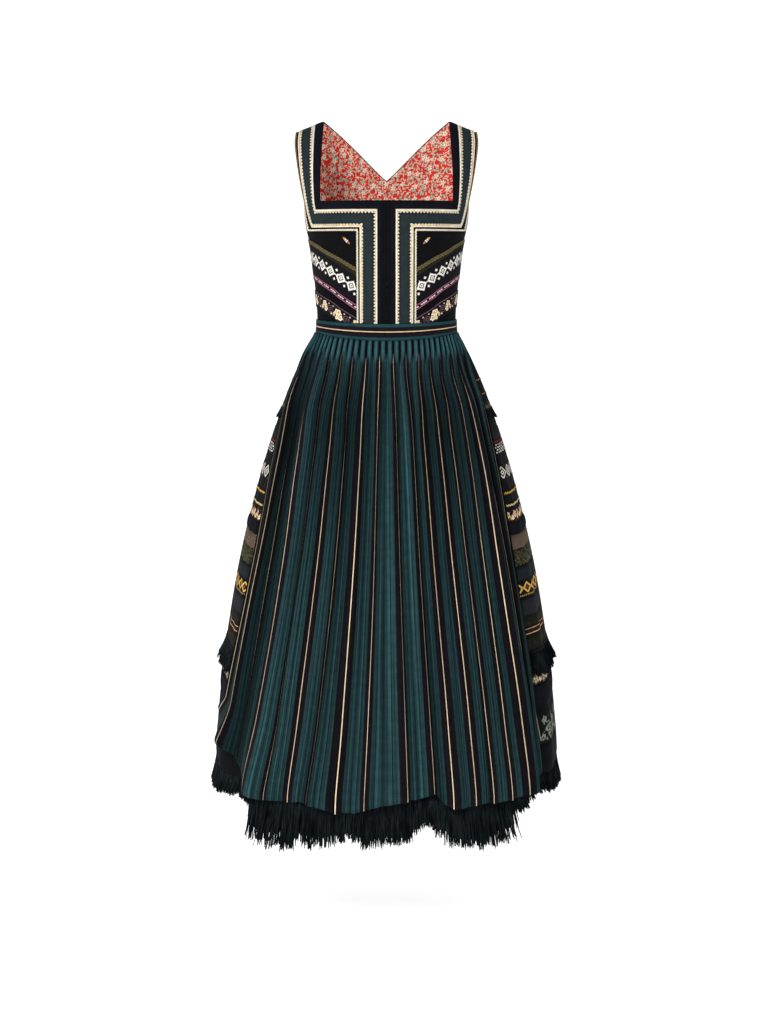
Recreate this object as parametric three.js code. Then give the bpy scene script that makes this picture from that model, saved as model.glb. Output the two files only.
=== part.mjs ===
// A dirndl with an apron, worn shape with no wearer. Millimetres, +Z up, front towards -Y,
// origin between the tops of the two shoulder straps.
import * as THREE from "three";

const cloth = 1.2;
const seamGap = 0.2;
const liningOut = -0.9;
const liningIn = -1.9;
const trimLift = 0.35;
const trimInset = 0.2;

// Cross sections: half width across, depth to the front and depth to the back.
const bodiceSections = [
  { z: 0, halfWidth: 193, front: 0.3, back: 0.3 },
  { z: -6, halfWidth: 191, front: 18, back: 17 },
  { z: -20, halfWidth: 187, front: 36, back: 34 },
  { z: -46, halfWidth: 177.5, front: 62, back: 57 },
  { z: -88, halfWidth: 163, front: 93, back: 84 },
  { z: -135, halfWidth: 151, front: 114, back: 100 },
  { z: -168, halfWidth: 144, front: 121, back: 104 },
  { z: -200, halfWidth: 134.8, front: 122, back: 102 },
  { z: -234, halfWidth: 129.5, front: 116, back: 97 },
  { z: -274, halfWidth: 125.2, front: 103, back: 89 },
  { z: -312, halfWidth: 121.8, front: 93, back: 84 },
  { z: -340, halfWidth: 120.8, front: 90, back: 83 },
  { z: -362, halfWidth: 122.5, front: 91, back: 84 },
];

const skirtSections = [
  { z: -340, halfWidth: 120.8, front: 90, back: 83 },
  { z: -362, halfWidth: 122.5, front: 91, back: 84 },
  { z: -376, halfWidth: 130.5, front: 97, back: 93 },
  { z: -394, halfWidth: 142, front: 108, back: 107 },
  { z: -416, halfWidth: 152.8, front: 121, back: 122 },
  { z: -457, halfWidth: 171, front: 142, back: 146 },
  { z: -499, halfWidth: 186.5, front: 160, back: 166 },
  { z: -585, halfWidth: 215.5, front: 190, back: 197 },
  { z: -673, halfWidth: 240, front: 217, back: 223 },
  { z: -760, halfWidth: 261, front: 240, back: 246 },
  { z: -847, halfWidth: 278, front: 260, back: 263 },
  { z: -958, halfWidth: 295.5, front: 279, back: 280 },
  { z: -1075, halfWidth: 308, front: 292, back: 290 },
  { z: -1124, halfWidth: 311, front: 296, back: 292 },
];

// Where the front panels are bounded on the shoulder and round the armhole.
const strapInner = [
  { z: 0, x: 108 },
  { z: -46, x: 110.5 },
  { z: -88, x: 112.5 },
  { z: -135, x: 113 },
];
const strapOuter = [
  { z: 0, x: 157 },
  { z: -20, x: 158 },
  { z: -46, x: 155.5 },
  { z: -88, x: 149.5 },
  { z: -135, x: 141 },
];
const armholeAngle = [
  { z: -135, deg: 69 },
  { z: -163, deg: 75.5 },
  { z: -182, deg: 81 },
  { z: -200, deg: 90 },
];
const shoulderDrop = 18;
const neckline = -135;
const armholeBottom = -200;
const backNeckDepth = -106.4;
const bust = { x: 74, z: -206, lift: 9, across: 44, along: 44 };

// The waist: where the bodice meets the skirt, and the edges of the apron's waistband.
const waistLine = { side: -350, front: -356 };
const bandTop = { side: -339, front: -342.5 };
const bandBottom = { side: -361, front: -371 };

// Bands round the square neck and down the front, measured from the edge.
const frontColumns = [seamGap, 7.4, 15.6, 21.8, 39.2, 45, 47.5, 50.4, 79];
const strapShares = { neck: [0, 0.26, 0.39, 0.7, 0.84, 0.9, 1], bust: [0, 0.13, 0.2, 0.37, 0.45, 0.53, 1] };
const strapLevels = [0, -6, -20, -46, -88];
const neckBands = [-135, -149.5, -156, -173, -179, -182, -185];
const slantRows = [
  { name: "oliveTop", side: -199, centre: -245 },
  { name: "diamondTop", side: -209, centre: -261 },
  { name: "pinkTop", side: -258, centre: -310 },
  { name: "pinkEnd", side: -268, centre: -322 },
  { name: "floralTop", side: -287, centre: -333 },
  { name: "floralEnd", side: -315, centre: -362 },
];

const skirtColumns = 64;
const skirtLevels = [-416, -490, -585, -686, -703, -820, -903, -965, -996, -1058, -1115];
const skirtFolds = { count: 16, start: 1.5, end: 15 };
const hem = -1115;
const squareness = 0.84;

const apronColumns = 48;
const apronLevels = [-392, -418, -470, -570, -670, -770, -870, -970, -1055, -1137];
const apronEdge = [
  { z: -361, left: 86, right: 86 },
  { z: -418, left: 74, right: 68 },
  { z: -480, left: 71, right: 65 },
  { z: -570, left: 65, right: 61 },
  { z: -745, left: 61, right: 57 },
  { z: -990, left: 65, right: 58 },
  { z: -1133, left: 72, right: 60 },
];
const apronLift = [
  { z: -361, clear: 1.8, pleat: 2.6, fold: 0 },
  { z: -392, clear: 3.2, pleat: 3.6, fold: 0 },
  { z: -418, clear: 4.2, pleat: 4.2, fold: 1 },
  { z: -470, clear: 4.8, pleat: 2.4, fold: 4 },
  { z: -570, clear: 5, pleat: 0.8, fold: 8 },
  { z: -770, clear: 5, pleat: 0, fold: 12 },
  { z: -1133, clear: 5, pleat: 0, fold: 17 },
];
const apronFolds = 7;
const apronRise = { from: -985, edge: 24 };

const lockRows = {
  upper_tassels: {
    top: -492, header: 4, length: 18, thick: 2.6, lift: 1.9, flare: 3, perCell: 1, from: 67, to: 286,
  },
  lower_tassels: {
    top: -904, header: 6, length: 43, thick: 4, lift: 1.7, flare: 9, perCell: 2, from: 60, to: 294,
  },
  hem_fringe: {
    top: -1115.5, header: 9, length: 76, thick: 3.2, lift: -1, flare: 12, perCell: 2, from: 0, to: 360,
  },
};
const velvetThick = 2.4;

const rad = Math.PI / 180;

// A smooth curve through a table's rows, read at a height.
function along(table, z, column) {
  const last = table.length - 1;
  if (z >= table[0].z) return table[0][column];
  if (z <= table[last].z) return table[last][column];
  let i = 0;
  while (table[i + 1].z > z) i += 1;
  const slope = (k) => {
    const lo = table[Math.max(k - 1, 0)];
    const hi = table[Math.min(k + 1, last)];
    return (hi[column] - lo[column]) / (hi.z - lo.z);
  };
  const span = table[i + 1].z - table[i].z;
  const s = (z - table[i].z) / span;
  const a = table[i][column];
  const b = table[i + 1][column];
  const h = s * s * (3 - 2 * s);
  const ma = slope(i) * span;
  const mb = slope(i + 1) * span;
  return a + (b - a) * h + ma * s * (1 - s) * (1 - s) - mb * s * s * (1 - s);
}

const mix = (a, b, s) => a + (b - a) * s;

function waistHeight(line, angle) {
  const c = Math.max(Math.cos(angle), 0);
  return mix(line.side, line.front, c * c);
}

function bodicePoint(level, angle) {
  const halfWidth = along(bodiceSections, level, "halfWidth");
  const facing = Math.cos(angle) >= 0 ? "front" : "back";
  const depth = along(bodiceSections, level, facing);
  const x = halfWidth * Math.sin(angle);
  let y = -depth * Math.cos(angle);
  if (facing === "front") {
    const across = (Math.abs(x) - bust.x) / bust.across;
    const down = (level - bust.z) / bust.along;
    y -= bust.lift * Math.exp(-across * across - down * down) * Math.min(1, 4 * Math.cos(angle));
  }
  const slope = level > neckline ? (Math.abs(x) - strapInner[0].x) * (1 - level / neckline) : 0;
  return new THREE.Vector3(x, y, level - (slope * shoulderDrop) / (strapOuter[0].x - strapInner[0].x));
}

function skirtFold(angle, z) {
  const share = Math.min(1, Math.max(0, (waistLine.side - z) / (waistLine.side - hem)));
  const deep = mix(skirtFolds.start, skirtFolds.end, share);
  return -deep * (0.5 - 0.5 * Math.cos(skirtFolds.count * angle));
}

// Round at the waist, squarer towards the hem.
function skirtPoint(angle, z, lift) {
  const facing = Math.cos(angle) >= 0 ? "front" : "back";
  const share = Math.min(1, Math.max(0, (-416 - z) / (-416 - hem)));
  const power = mix(1, squareness, share);
  const bend = (v) => Math.sign(v) * Math.abs(v) ** power;
  const x = (along(skirtSections, z, "halfWidth") + lift) * bend(Math.sin(angle));
  const y = -(along(skirtSections, z, facing) + lift) * bend(Math.cos(angle));
  return new THREE.Vector3(x, y, z);
}

const key = (p) => `${Math.round(p.x * 1e3)},${Math.round(p.y * 1e3)},${Math.round(p.z * 1e3)}`;

// A sheet of cloth: rows of points, joined where they meet, with a normal at each point.
class Sheet {
  constructor() {
    this.points = [];
    this.normals = [];
    this.index = new Map();
    this.cells = [];
  }

  point(p) {
    const k = key(p);
    if (!this.index.has(k)) {
      this.index.set(k, this.points.length);
      this.points.push(p);
    }
    return this.index.get(k);
  }

  // Rows run down, columns run anticlockwise seen from above, so that cells face outwards.
  grid(rows, closed = false) {
    const ids = rows.map((row) => row.map((p) => (p ? this.point(p) : -1)));
    const count = rows[0].length;
    for (let r = 0; r + 1 < rows.length; r += 1) {
      for (let c = 0; c < (closed ? count : count - 1); c += 1) {
        const d = (c + 1) % count;
        const corner = [ids[r][c], ids[r + 1][c], ids[r + 1][d], ids[r][d]];
        if (corner.every((id) => id >= 0)) this.cells.push({ r, c, corner });
      }
    }
    return this;
  }

  settle(fix = () => {}) {
    this.normals = this.points.map(() => new THREE.Vector3());
    for (const cell of this.cells) {
      const [a, b, c, d] = cell.corner.map((id) => this.points[id]);
      const n = new THREE.Vector3().crossVectors(c.clone().sub(a), d.clone().sub(b));
      for (const id of new Set(cell.corner)) this.normals[id].add(n);
    }
    this.normals.forEach((n, i) => {
      n.normalize();
      fix(n, this.points[i]);
      n.normalize();
    });
    return this;
  }

  // The part of the sheet that `take` picks, made solid between two offsets, its edge drawn in.
  solid(inner, outer, take = () => true, inset = 0) {
    const faces = [];
    for (const cell of this.cells) {
      if (!take(cell)) continue;
      const ring = cell.corner.filter((id, i) => id !== cell.corner[(i + 3) % 4]);
      if (ring.length < 3) continue;
      faces.push([ring[0], ring[1], ring[2]]);
      if (ring.length === 4) faces.push([ring[0], ring[2], ring[3]]);
    }
    const edges = new Map();
    for (const f of faces) {
      for (let i = 0; i < 3; i += 1) edges.set(`${f[i]}_${f[(i + 1) % 3]}`, [f[i], f[(i + 1) % 3]]);
    }
    const rim = [...edges.values()].filter(([a, b]) => !edges.has(`${b}_${a}`));
    const pull = new Map();
    for (const [a, b] of rim) {
      const side = this.points[b].clone().sub(this.points[a]);
      const normal = this.normals[a].clone().add(this.normals[b]).normalize();
      const inward = new THREE.Vector3().crossVectors(normal, side).normalize();
      for (const id of [a, b]) {
        if (!pull.has(id)) pull.set(id, []);
        pull.get(id).push(inward);
      }
    }
    const used = [...new Set(faces.flat())];
    const place = new Map(used.map((id, i) => [id, i]));
    const at = (id, off) => {
      const p = this.points[id].clone().addScaledVector(this.normals[id], off);
      if (inset && pull.has(id)) {
        const sum = pull.get(id).reduce((s, v) => s.add(v), new THREE.Vector3());
        const long = sum.lengthSq();
        if (long > 0.2) p.addScaledVector(sum, (inset * pull.get(id).length) / long);
      }
      return p;
    };
    const spots = [...used.map((id) => at(id, outer)), ...used.map((id) => at(id, inner))];
    const n = used.length;
    const tris = [];
    for (const [a, b, c] of faces) {
      tris.push([place.get(a), place.get(b), place.get(c)]);
      tris.push([n + place.get(a), n + place.get(c), n + place.get(b)]);
    }
    for (const [a, b] of rim) {
      tris.push([place.get(b), place.get(a), n + place.get(a)]);
      tris.push([place.get(b), n + place.get(a), n + place.get(b)]);
    }
    return toGeometry(spots, tris);
  }
}

function toGeometry(spots, tris) {
  const geometry = new THREE.BufferGeometry();
  const flat = spots.flatMap((p) => [p.x, p.y, p.z]);
  geometry.setAttribute("position", new THREE.Float32BufferAttribute(flat, 3));
  geometry.setIndex(tris.flat());
  geometry.computeVertexNormals();
  return geometry;
}

// The front of the bodice, one half; `side` is 1 for the half at +X.
function columnAngle(c, level) {
  const halfWidth = along(bodiceSections, level, "halfWidth");
  if (c < frontColumns.length) return Math.asin(frontColumns[c] / halfWidth);
  const share = c - frontColumns.length;
  if (level >= neckline) {
    const inner = Math.asin(along(strapInner, level, "x") / halfWidth);
    const outer = Math.asin(along(strapOuter, level, "x") / halfWidth);
    return mix(inner, outer, strapShares.neck[share]);
  }
  const inner = Math.asin(along(strapInner, neckline, "x") / along(bodiceSections, neckline, "halfWidth"));
  const edge = level <= armholeBottom ? 90 : along(armholeAngle, level, "deg");
  const turn = Math.min(1, (neckline - level) / 47);
  const part = mix(strapShares.neck[share], strapShares.bust[share], turn);
  const even = Math.min(1, Math.max(0, (-182 - level) / 100));
  const spread = mix(part, share / 6, even);
  const outer = Math.min(edge * rad, Math.PI / 2 - seamGap / along(bodiceSections, level, "front"));
  return mix(inner, outer, spread);
}

function frontSheet(side) {
  const count = frontColumns.length + strapShares.neck.length;
  const rows = [];
  for (const level of strapLevels) {
    const row = [];
    for (let c = 0; c < count; c += 1) {
      row.push(c < frontColumns.length ? null : bodicePoint(level, columnAngle(c, level)));
    }
    rows.push(row);
  }
  for (const level of neckBands) {
    const row = [];
    for (let c = 0; c < count; c += 1) row.push(bodicePoint(level, columnAngle(c, level)));
    rows.push(row);
  }
  const wide = along(bodiceSections, -250, "halfWidth");
  for (const slant of [...slantRows, null, null]) {
    const row = [];
    const isWaist = rows.length === strapLevels.length + neckBands.length + slantRows.length + 1;
    for (let c = 0; c < count; c += 1) {
      const x = wide * Math.sin(columnAngle(c, -250));
      const share = Math.max(0, (x - 50.4) / (wide - 50.4));
      const guess = columnAngle(c, -345);
      const stop = waistHeight(bandTop, guess) + 0.5;
      let level = slant ? Math.max(mix(slant.centre, slant.side, share), stop) : stop;
      if (isWaist) level = waistHeight(waistLine, guess);
      row.push(bodicePoint(level, columnAngle(c, level)));
    }
    rows.push(row);
  }
  const turned = rows.map((row) => row.map((p) => p && (side > 0 ? p : new THREE.Vector3(-p.x, p.y, p.z))));
  const sheet = new Sheet();
  sheet.side = side;
  sheet.grid(side > 0 ? turned : turned.map((row) => row.reverse()));
  if (side < 0) for (const cell of sheet.cells) cell.c = count - 2 - cell.c;
  return sheet.settle(seamNormals);
}

function seamNormals(n, p) {
  if (Math.abs(p.x) < 0.5) n.x = 0;
  if (Math.abs(p.y) < 0.5) n.y = 0;
}

const rowOf = (() => {
  const names = ["shoulder", "strap1", "strap2", "strap3", "strap4"];
  names.push("neck", "velvetEnd", "braidEnd", "slateEnd", "outerEnd", "cordTop", "cordEnd");
  slantRows.forEach((s) => names.push(s.name));
  names.push("bandTop", "waist");
  return (name) => names.indexOf(name);
})();
const lastTrimRow = rowOf("bandTop");

// A band that runs down the strap, along the neck and down the front, with its two corners.
function neckBand(front, row, strap) {
  return ({ r, c }) => {
    const onStrap = c === frontColumns.length + strap && r <= row;
    const onNeck = r === row && c >= front && c <= frontColumns.length + strap;
    const onFront = c === front && r >= row && r < lastTrimRow;
    return onStrap || onNeck || onFront;
  };
}

const slantBand = (from, to) => ({ r, c }) => r >= rowOf(from) && r < rowOf(to) && c >= 7;

const trims = [
  { name: "placket", take: ({ r, c }) => c === 0 && r >= 5 && r < lastTrimRow, high: 1.6, colour: 0x16171b },
  { name: "velvet_edging", take: neckBand(1, 5, 0), high: 1.3, colour: 0x0c0e18 },
  { name: "inner_braid", take: neckBand(2, 6, 1), high: 1.8, colour: 0xe9dcc0 },
  { name: "slate_ribbon", take: neckBand(3, 7, 2), high: 1, colour: 0x2c3738 },
  { name: "outer_braid", take: neckBand(4, 8, 3), high: 1.8, colour: 0xe9dcc0 },
  { name: "wavy_braid", take: neckBand(6, 10, 5), high: 1.6, colour: 0xe9dcc0 },
  { name: "olive_braid", take: slantBand("oliveTop", "diamondTop"), high: 1.2, colour: 0x4a452c },
  { name: "diamond_ribbon", take: slantBand("diamondTop", "pinkTop"), high: 1, colour: 0x1a1a1c },
  { name: "pink_ribbon", take: slantBand("pinkTop", "pinkEnd"), high: 1, colour: 0xb06a84 },
  { name: "floral_ribbon", take: slantBand("floralTop", "floralEnd"), high: 1, colour: 0x6b5560 },
];

// The back of the bodice in one piece, its V neck cut from strap to strap.
function backSheet(step) {
  const levels = [0, -6, -20, -46, -74, -106.4, -135, -167, -200, -243, -292, -340];
  const shares = step === 1 ? [0, 0.17, 0.34, 0.5, 0.67, 0.83, 1] : [0, 0.25, 0.5, 0.75, 1];
  const half = (sign) => {
    const rows = [];
    for (const level of [...levels, null]) {
      const row = [];
      for (const share of shares) {
        const z = level ?? waistLine.side;
        const halfWidth = along(bodiceSections, z, "halfWidth");
        const open = Math.max(0, (z - backNeckDepth) / -backNeckDepth);
        const inner = Math.asin((strapInner[0].x * open ** 0.88) / halfWidth);
        let outer = Math.PI / 2 - seamGap / along(bodiceSections, z, "back");
        if (z >= neckline) outer = Math.asin(along(strapOuter, z, "x") / halfWidth);
        else if (z > armholeBottom) outer = Math.min(outer, along(armholeAngle, z, "deg") * rad);
        const angle = Math.PI - mix(inner, outer, share);
        const p = bodicePoint(z, angle);
        row.push(new THREE.Vector3(p.x * sign, Math.abs(p.y), p.z));
      }
      rows.push(row);
    }
    return rows;
  };
  const sheet = new Sheet();
  sheet.grid(half(1).map((row) => row.reverse()));
  sheet.grid(half(-1));
  return sheet.settle((n, p) => {
    if (Math.abs(p.x) < 0.01) n.x = 0;
    if (Math.abs(p.y) < 0.5) n.y = 0;
  });
}

// Columns of a ring, evenly turned, from the front round by +X.
function ringAngles(count) {
  return Array.from({ length: count }, (_, i) => (i * 2 * Math.PI) / count);
}

function skirtSheet() {
  const angles = ringAngles(skirtColumns);
  const rows = [angles.map((a) => skirtPoint(a, waistHeight(waistLine, a) - 0.5, skirtFold(a, waistLine.side)))];
  rows.push(angles.map((a) => skirtPoint(a, waistHeight(bandBottom, a) - 1, skirtFold(a, bandBottom.front))));
  for (const z of skirtLevels) rows.push(angles.map((a) => skirtPoint(a, z, skirtFold(a, z))));
  return new Sheet().grid(rows, true).settle();
}

function waistbandSheet() {
  const angles = ringAngles(skirtColumns);
  const rows = [bandTop, waistLine, bandBottom].map((line) =>
    angles.map((a) => skirtPoint(a, waistHeight(line, a), 0)),
  );
  return new Sheet().grid(rows, true).settle();
}

function apronSheet() {
  const rows = [];
  for (const level of [null, ...apronLevels]) {
    const row = [];
    for (let c = 0; c <= apronColumns; c += 1) {
      const u = (2 * c) / apronColumns - 1;
      const z0 = level ?? bandBottom.side;
      const edge = along(apronEdge, z0, u < 0 ? "left" : "right");
      const a = u * edge * rad;
      let z = level ?? waistHeight(bandBottom, a) - 0.5;
      if (z < apronRise.from) z += apronRise.edge * Math.abs(u) ** 3 * ((apronRise.from - z) / 148);
      const pleat = along(apronLift, z0, "pleat") * (c % 2);
      const wave = 0.5 - 0.5 * Math.cos(apronFolds * Math.PI * (u + 1) + 0.6 * Math.sin(3 * u));
      const lift = along(apronLift, z0, "clear") + pleat + along(apronLift, z0, "fold") * wave;
      row.push(skirtPoint(a, z, lift));
    }
    rows.push(row);
  }
  return new Sheet().grid(rows).settle();
}

// A place on the skirt's own facets, so that what hangs on it keeps its distance everywhere.
function facetSpot(cell, share, z, lift) {
  const levels = [...skirtLevels, hem - 200];
  let k = 0;
  while (levels[k + 1] > z) k += 1;
  const s = (levels[k] - z) / (levels[k] - levels[k + 1]);
  const row = (level, i) => {
    const a = (i * 2 * Math.PI) / skirtColumns;
    return skirtPoint(a, Math.max(level, hem), skirtFold(a, level)).setZ(level);
  };
  const left = row(levels[k], cell).lerp(row(levels[k + 1], cell), s);
  const right = row(levels[k], cell + 1).lerp(row(levels[k + 1], cell + 1), s);
  const turn = ((cell + 0.5) * 2 * Math.PI) / skirtColumns;
  const out = new THREE.Vector3(Math.sin(turn), -Math.cos(turn), 0);
  return left.lerp(right, share).addScaledVector(out, lift);
}

// Locks hanging from a narrow strip, laid over the skirt or carried on below its hem.
function locks(shape) {
  const closed = shape.to - shape.from >= 360;
  const first = Math.ceil((shape.from / 360) * skirtColumns);
  const last = Math.floor((shape.to / 360) * skirtColumns);
  const count = (last - first) * shape.perCell;
  const place = (i, down, lift) => {
    const cell = first + Math.floor(i / shape.perCell);
    const share = (i % shape.perCell) / shape.perCell;
    if (i === count && !closed) return facetSpot(last - 1, 1, shape.top - down, lift);
    return facetSpot(cell, share, shape.top - down, lift);
  };
  const points = [];
  const tris = [];
  const stops = closed ? count : count + 1;
  for (let i = 0; i < stops; i += 1) {
    for (const down of [0, shape.header]) {
      points.push(place(i, down, shape.lift + shape.thick), place(i, down, shape.lift));
    }
  }
  const quad = (a, b, c, d) => tris.push([a, b, c], [a, c, d]);
  for (let i = 0; i < count; i += 1) {
    const a = 4 * i;
    const b = 4 * ((i + 1) % stops);
    quad(a, a + 2, b + 2, b);
    quad(b + 1, b + 3, a + 3, a + 1);
    quad(a + 1, a, b, b + 1);
    const drop = shape.header + shape.length * (0.95 + 0.05 * Math.sin(i * 1.7));
    const flare = shape.flare;
    const low = [
      place(i, drop, shape.lift + flare + shape.thick * 0.8),
      place(i + 1, drop, shape.lift + flare + shape.thick * 0.8),
      place(i + 1, drop, shape.lift + flare),
      place(i, drop, shape.lift + flare),
    ];
    const lean = 0.5 + 0.14 * Math.sin(i * 2.4);
    const thin = 0.22;
    const base = points.length;
    points.push(low[0].clone().lerp(low[1], lean - thin), low[0].clone().lerp(low[1], lean + thin));
    points.push(low[3].clone().lerp(low[2], lean + thin), low[3].clone().lerp(low[2], lean - thin));
    const root = [a + 2, b + 2, b + 3, a + 3];
    for (let k = 0; k < 4; k += 1) {
      const m = (k + 1) % 4;
      quad(root[k], base + k, base + m, root[m]);
    }
    quad(base + 3, base + 2, base + 1, base);
  }
  if (!closed) {
    quad(1, 3, 2, 0);
    const e = 4 * (stops - 1);
    quad(e, e + 2, e + 3, e + 1);
  }
  return toGeometry(points, tris);
}

const dirndl = new THREE.Group();

function add(name, geometry, colour) {
  const material = new THREE.MeshStandardMaterial({ color: colour, roughness: 0.8 });
  const mesh = new THREE.Mesh(geometry, material);
  mesh.name = name;
  dirndl.add(mesh);
}

for (const [word, side] of [["right", 1], ["left", -1]]) {
  const sheet = frontSheet(side);
  add(`bodice_front_${word}`, sheet.solid(0, cloth), 0x17181c);
  for (const trim of trims) {
    const base = cloth + trimLift;
    add(`${trim.name}_${word}`, sheet.solid(base, base + trim.high, trim.take, trimInset), trim.colour);
  }
}
add("bodice_back", backSheet(1).solid(0, cloth), 0x17181c);
add("lining_back", backSheet(1).solid(liningIn, liningOut), 0xc8342e);

const skirt = skirtSheet();
add("skirt", skirt.solid(0, cloth), 0x1f1f22);
const bandRow = (row) => ({ r }) => r === row;
const velvetBase = cloth + trimLift;
add("upper_velvet_band", skirt.solid(velvetBase, velvetBase + velvetThick, bandRow(5), 0.1), 0x0b0b0d);
add("lower_velvet_band", skirt.solid(velvetBase, velvetBase + velvetThick, bandRow(9), 0.1), 0x0b0b0d);

add("waistband", waistbandSheet().solid(1.9, 3.3), 0x211c22);
add("apron", apronSheet().solid(0, cloth), 0x2a4b4e);

for (const [name, row] of Object.entries(lockRows)) add(name, locks(row), 0x101413);

export default dirndl;
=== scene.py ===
import bpy
import math
import numpy as np
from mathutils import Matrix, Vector


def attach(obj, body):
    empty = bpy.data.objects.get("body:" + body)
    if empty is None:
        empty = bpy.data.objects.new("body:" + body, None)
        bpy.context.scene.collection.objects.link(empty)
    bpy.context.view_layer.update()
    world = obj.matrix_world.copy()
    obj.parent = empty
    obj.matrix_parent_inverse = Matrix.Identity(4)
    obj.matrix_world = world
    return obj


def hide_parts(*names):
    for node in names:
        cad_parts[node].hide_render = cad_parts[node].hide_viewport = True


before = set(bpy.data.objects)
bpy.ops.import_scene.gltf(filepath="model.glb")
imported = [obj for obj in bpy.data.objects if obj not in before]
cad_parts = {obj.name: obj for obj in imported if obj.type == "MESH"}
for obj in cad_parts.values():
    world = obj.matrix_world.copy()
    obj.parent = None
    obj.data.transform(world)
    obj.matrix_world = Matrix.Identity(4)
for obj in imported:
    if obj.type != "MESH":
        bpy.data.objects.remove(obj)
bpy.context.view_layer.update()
bpy.ops.object.select_all(action="DESELECT")

bodiceSections = {
    "z": [0, -6, -20, -46, -88, -135, -168, -200, -234, -274, -312, -340, -362],
    "halfWidth": [193, 191, 187, 177.5, 163, 151, 144, 134.8, 129.5, 125.2, 121.8, 120.8, 122.5],
    "front": [0.3, 18, 36, 62, 93, 114, 121, 122, 116, 103, 93, 90, 91],
    "back": [0.3, 17, 34, 57, 84, 100, 104, 102, 97, 89, 84, 83, 84],
}
skirtSections = {
    "z": [-340, -362, -376, -394, -416, -457, -499, -585, -673, -760, -847, -958, -1075, -1124],
    "halfWidth": [120.8, 122.5, 130.5, 142, 152.8, 171, 186.5, 215.5, 240, 261, 278, 295.5, 308, 311],
    "front": [90, 91, 97, 108, 121, 142, 160, 190, 217, 240, 260, 279, 292, 296],
    "back": [83, 84, 93, 107, 122, 146, 166, 197, 223, 246, 263, 280, 290, 292],
}
strapInner = {"z": [0, -46, -88, -135], "x": [108, 110.5, 112.5, 113]}
strapOuter = {"z": [0, -20, -46, -88, -135], "x": [157, 158, 155.5, 149.5, 141]}
armholeAngle = {"z": [-135, -163, -182, -200], "deg": [69, 75.5, 81, 90]}
frontColumns = [0.2, 7.4, 15.6, 21.8, 39.2, 45, 47.5, 50.4, 79]
strapShares = {"neck": [0, 0.26, 0.39, 0.7, 0.84, 0.9, 1], "bust": [0, 0.13, 0.2, 0.37, 0.45, 0.53, 1]}
frontLevels = [0, -6, -20, -46, -88, -135, -149.5, -156, -173, -179, -182, -185]
slantRows = [(-199, -245), (-209, -261), (-258, -310), (-268, -322), (-287, -333), (-315, -362)]
bandTop, waistLine, bandBottom = (-339, -342.5), (-350, -356), (-361, -371)
neckline, armholeBottom, backNeck, shoulderDrop, hem = -135, -200, -106.4, 18, -1115
cloth, trimLift = 1.2, 1.55


def along(table, z, column):
    # a smooth curve through the table, the same one as the solids use
    zs, values = np.array(table["z"], float), np.array(table[column], float)
    z = np.clip(np.asarray(z, float), zs[-1], zs[0])
    slopes = np.empty_like(values)
    slopes[1:-1] = (values[2:] - values[:-2]) / (zs[2:] - zs[:-2])
    slopes[0], slopes[-1] = (values[1] - values[0]) / (zs[1] - zs[0]), (values[-1] - values[-2]) / (zs[-1] - zs[-2])
    i = np.clip(np.searchsorted(-zs, -z, side="right") - 1, 0, len(zs) - 2)
    span = zs[i + 1] - zs[i]
    s = (z - zs[i]) / span
    blend = s * s * (3 - 2 * s)
    return (values[i] + (values[i + 1] - values[i]) * blend + slopes[i] * span * s * (1 - s) ** 2
            - slopes[i + 1] * span * s * s * (1 - s))


def atWaist(line, angle):
    c = np.maximum(np.cos(angle), 0)
    return line[0] + (line[1] - line[0]) * c * c


def bodicePoint(level, angle):
    level, angle = np.broadcast_arrays(np.asarray(level, float), np.asarray(angle, float))
    halfWidth = along(bodiceSections, level, "halfWidth")
    c = np.cos(angle)
    depth = np.where(c >= 0, along(bodiceSections, level, "front"), along(bodiceSections, level, "back"))
    x = halfWidth * np.sin(angle)
    bump = np.exp(-((np.abs(x) - 74) / 44) ** 2 - ((level + 206) / 44) ** 2) * np.minimum(1, 4 * c)
    y = -depth * c - 9 * bump * (c >= 0)
    slope = np.where(level > neckline, (np.abs(x) - 108) * (1 - level / neckline), 0)
    return np.stack([x, y, level - slope * shoulderDrop / 49], -1)


def columnAngle(column, level):
    level = np.asarray(level, float)
    halfWidth = along(bodiceSections, level, "halfWidth")
    if column < 9:
        return np.arcsin(frontColumns[column] / halfWidth)
    share = column - 9
    strap = np.arcsin(along(strapInner, level, "x") / halfWidth)
    strap = strap + (np.arcsin(along(strapOuter, level, "x") / halfWidth) - strap) * strapShares["neck"][share]
    inner = math.asin(113 / 151)
    edge = np.where(level <= armholeBottom, 90, along(armholeAngle, level, "deg"))
    turn = np.clip((neckline - level) / 47, 0, 1)
    part = strapShares["neck"][share] * (1 - turn) + strapShares["bust"][share] * turn
    even = np.clip((-182 - level) / 100, 0, 1)
    spread = part * (1 - even) + share / 6 * even
    outer = np.minimum(np.radians(edge), math.pi / 2 - 0.2 / along(bodiceSections, level, "front"))
    return np.where(level >= neckline, strap, inner + (outer - inner) * spread)


def angleAt(column, level):
    # column may fall between two of the lines that bound the ribbons
    column, level = np.broadcast_arrays(np.asarray(column, float), np.asarray(level, float))
    low = np.clip(np.floor(column).astype(int), 0, 14)
    table = np.stack([columnAngle(k, level) for k in range(16)])
    a = np.take_along_axis(table, low[None], 0)[0]
    b = np.take_along_axis(table, low[None] + 1, 0)[0]
    return a + (b - a) * (column - low)


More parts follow.
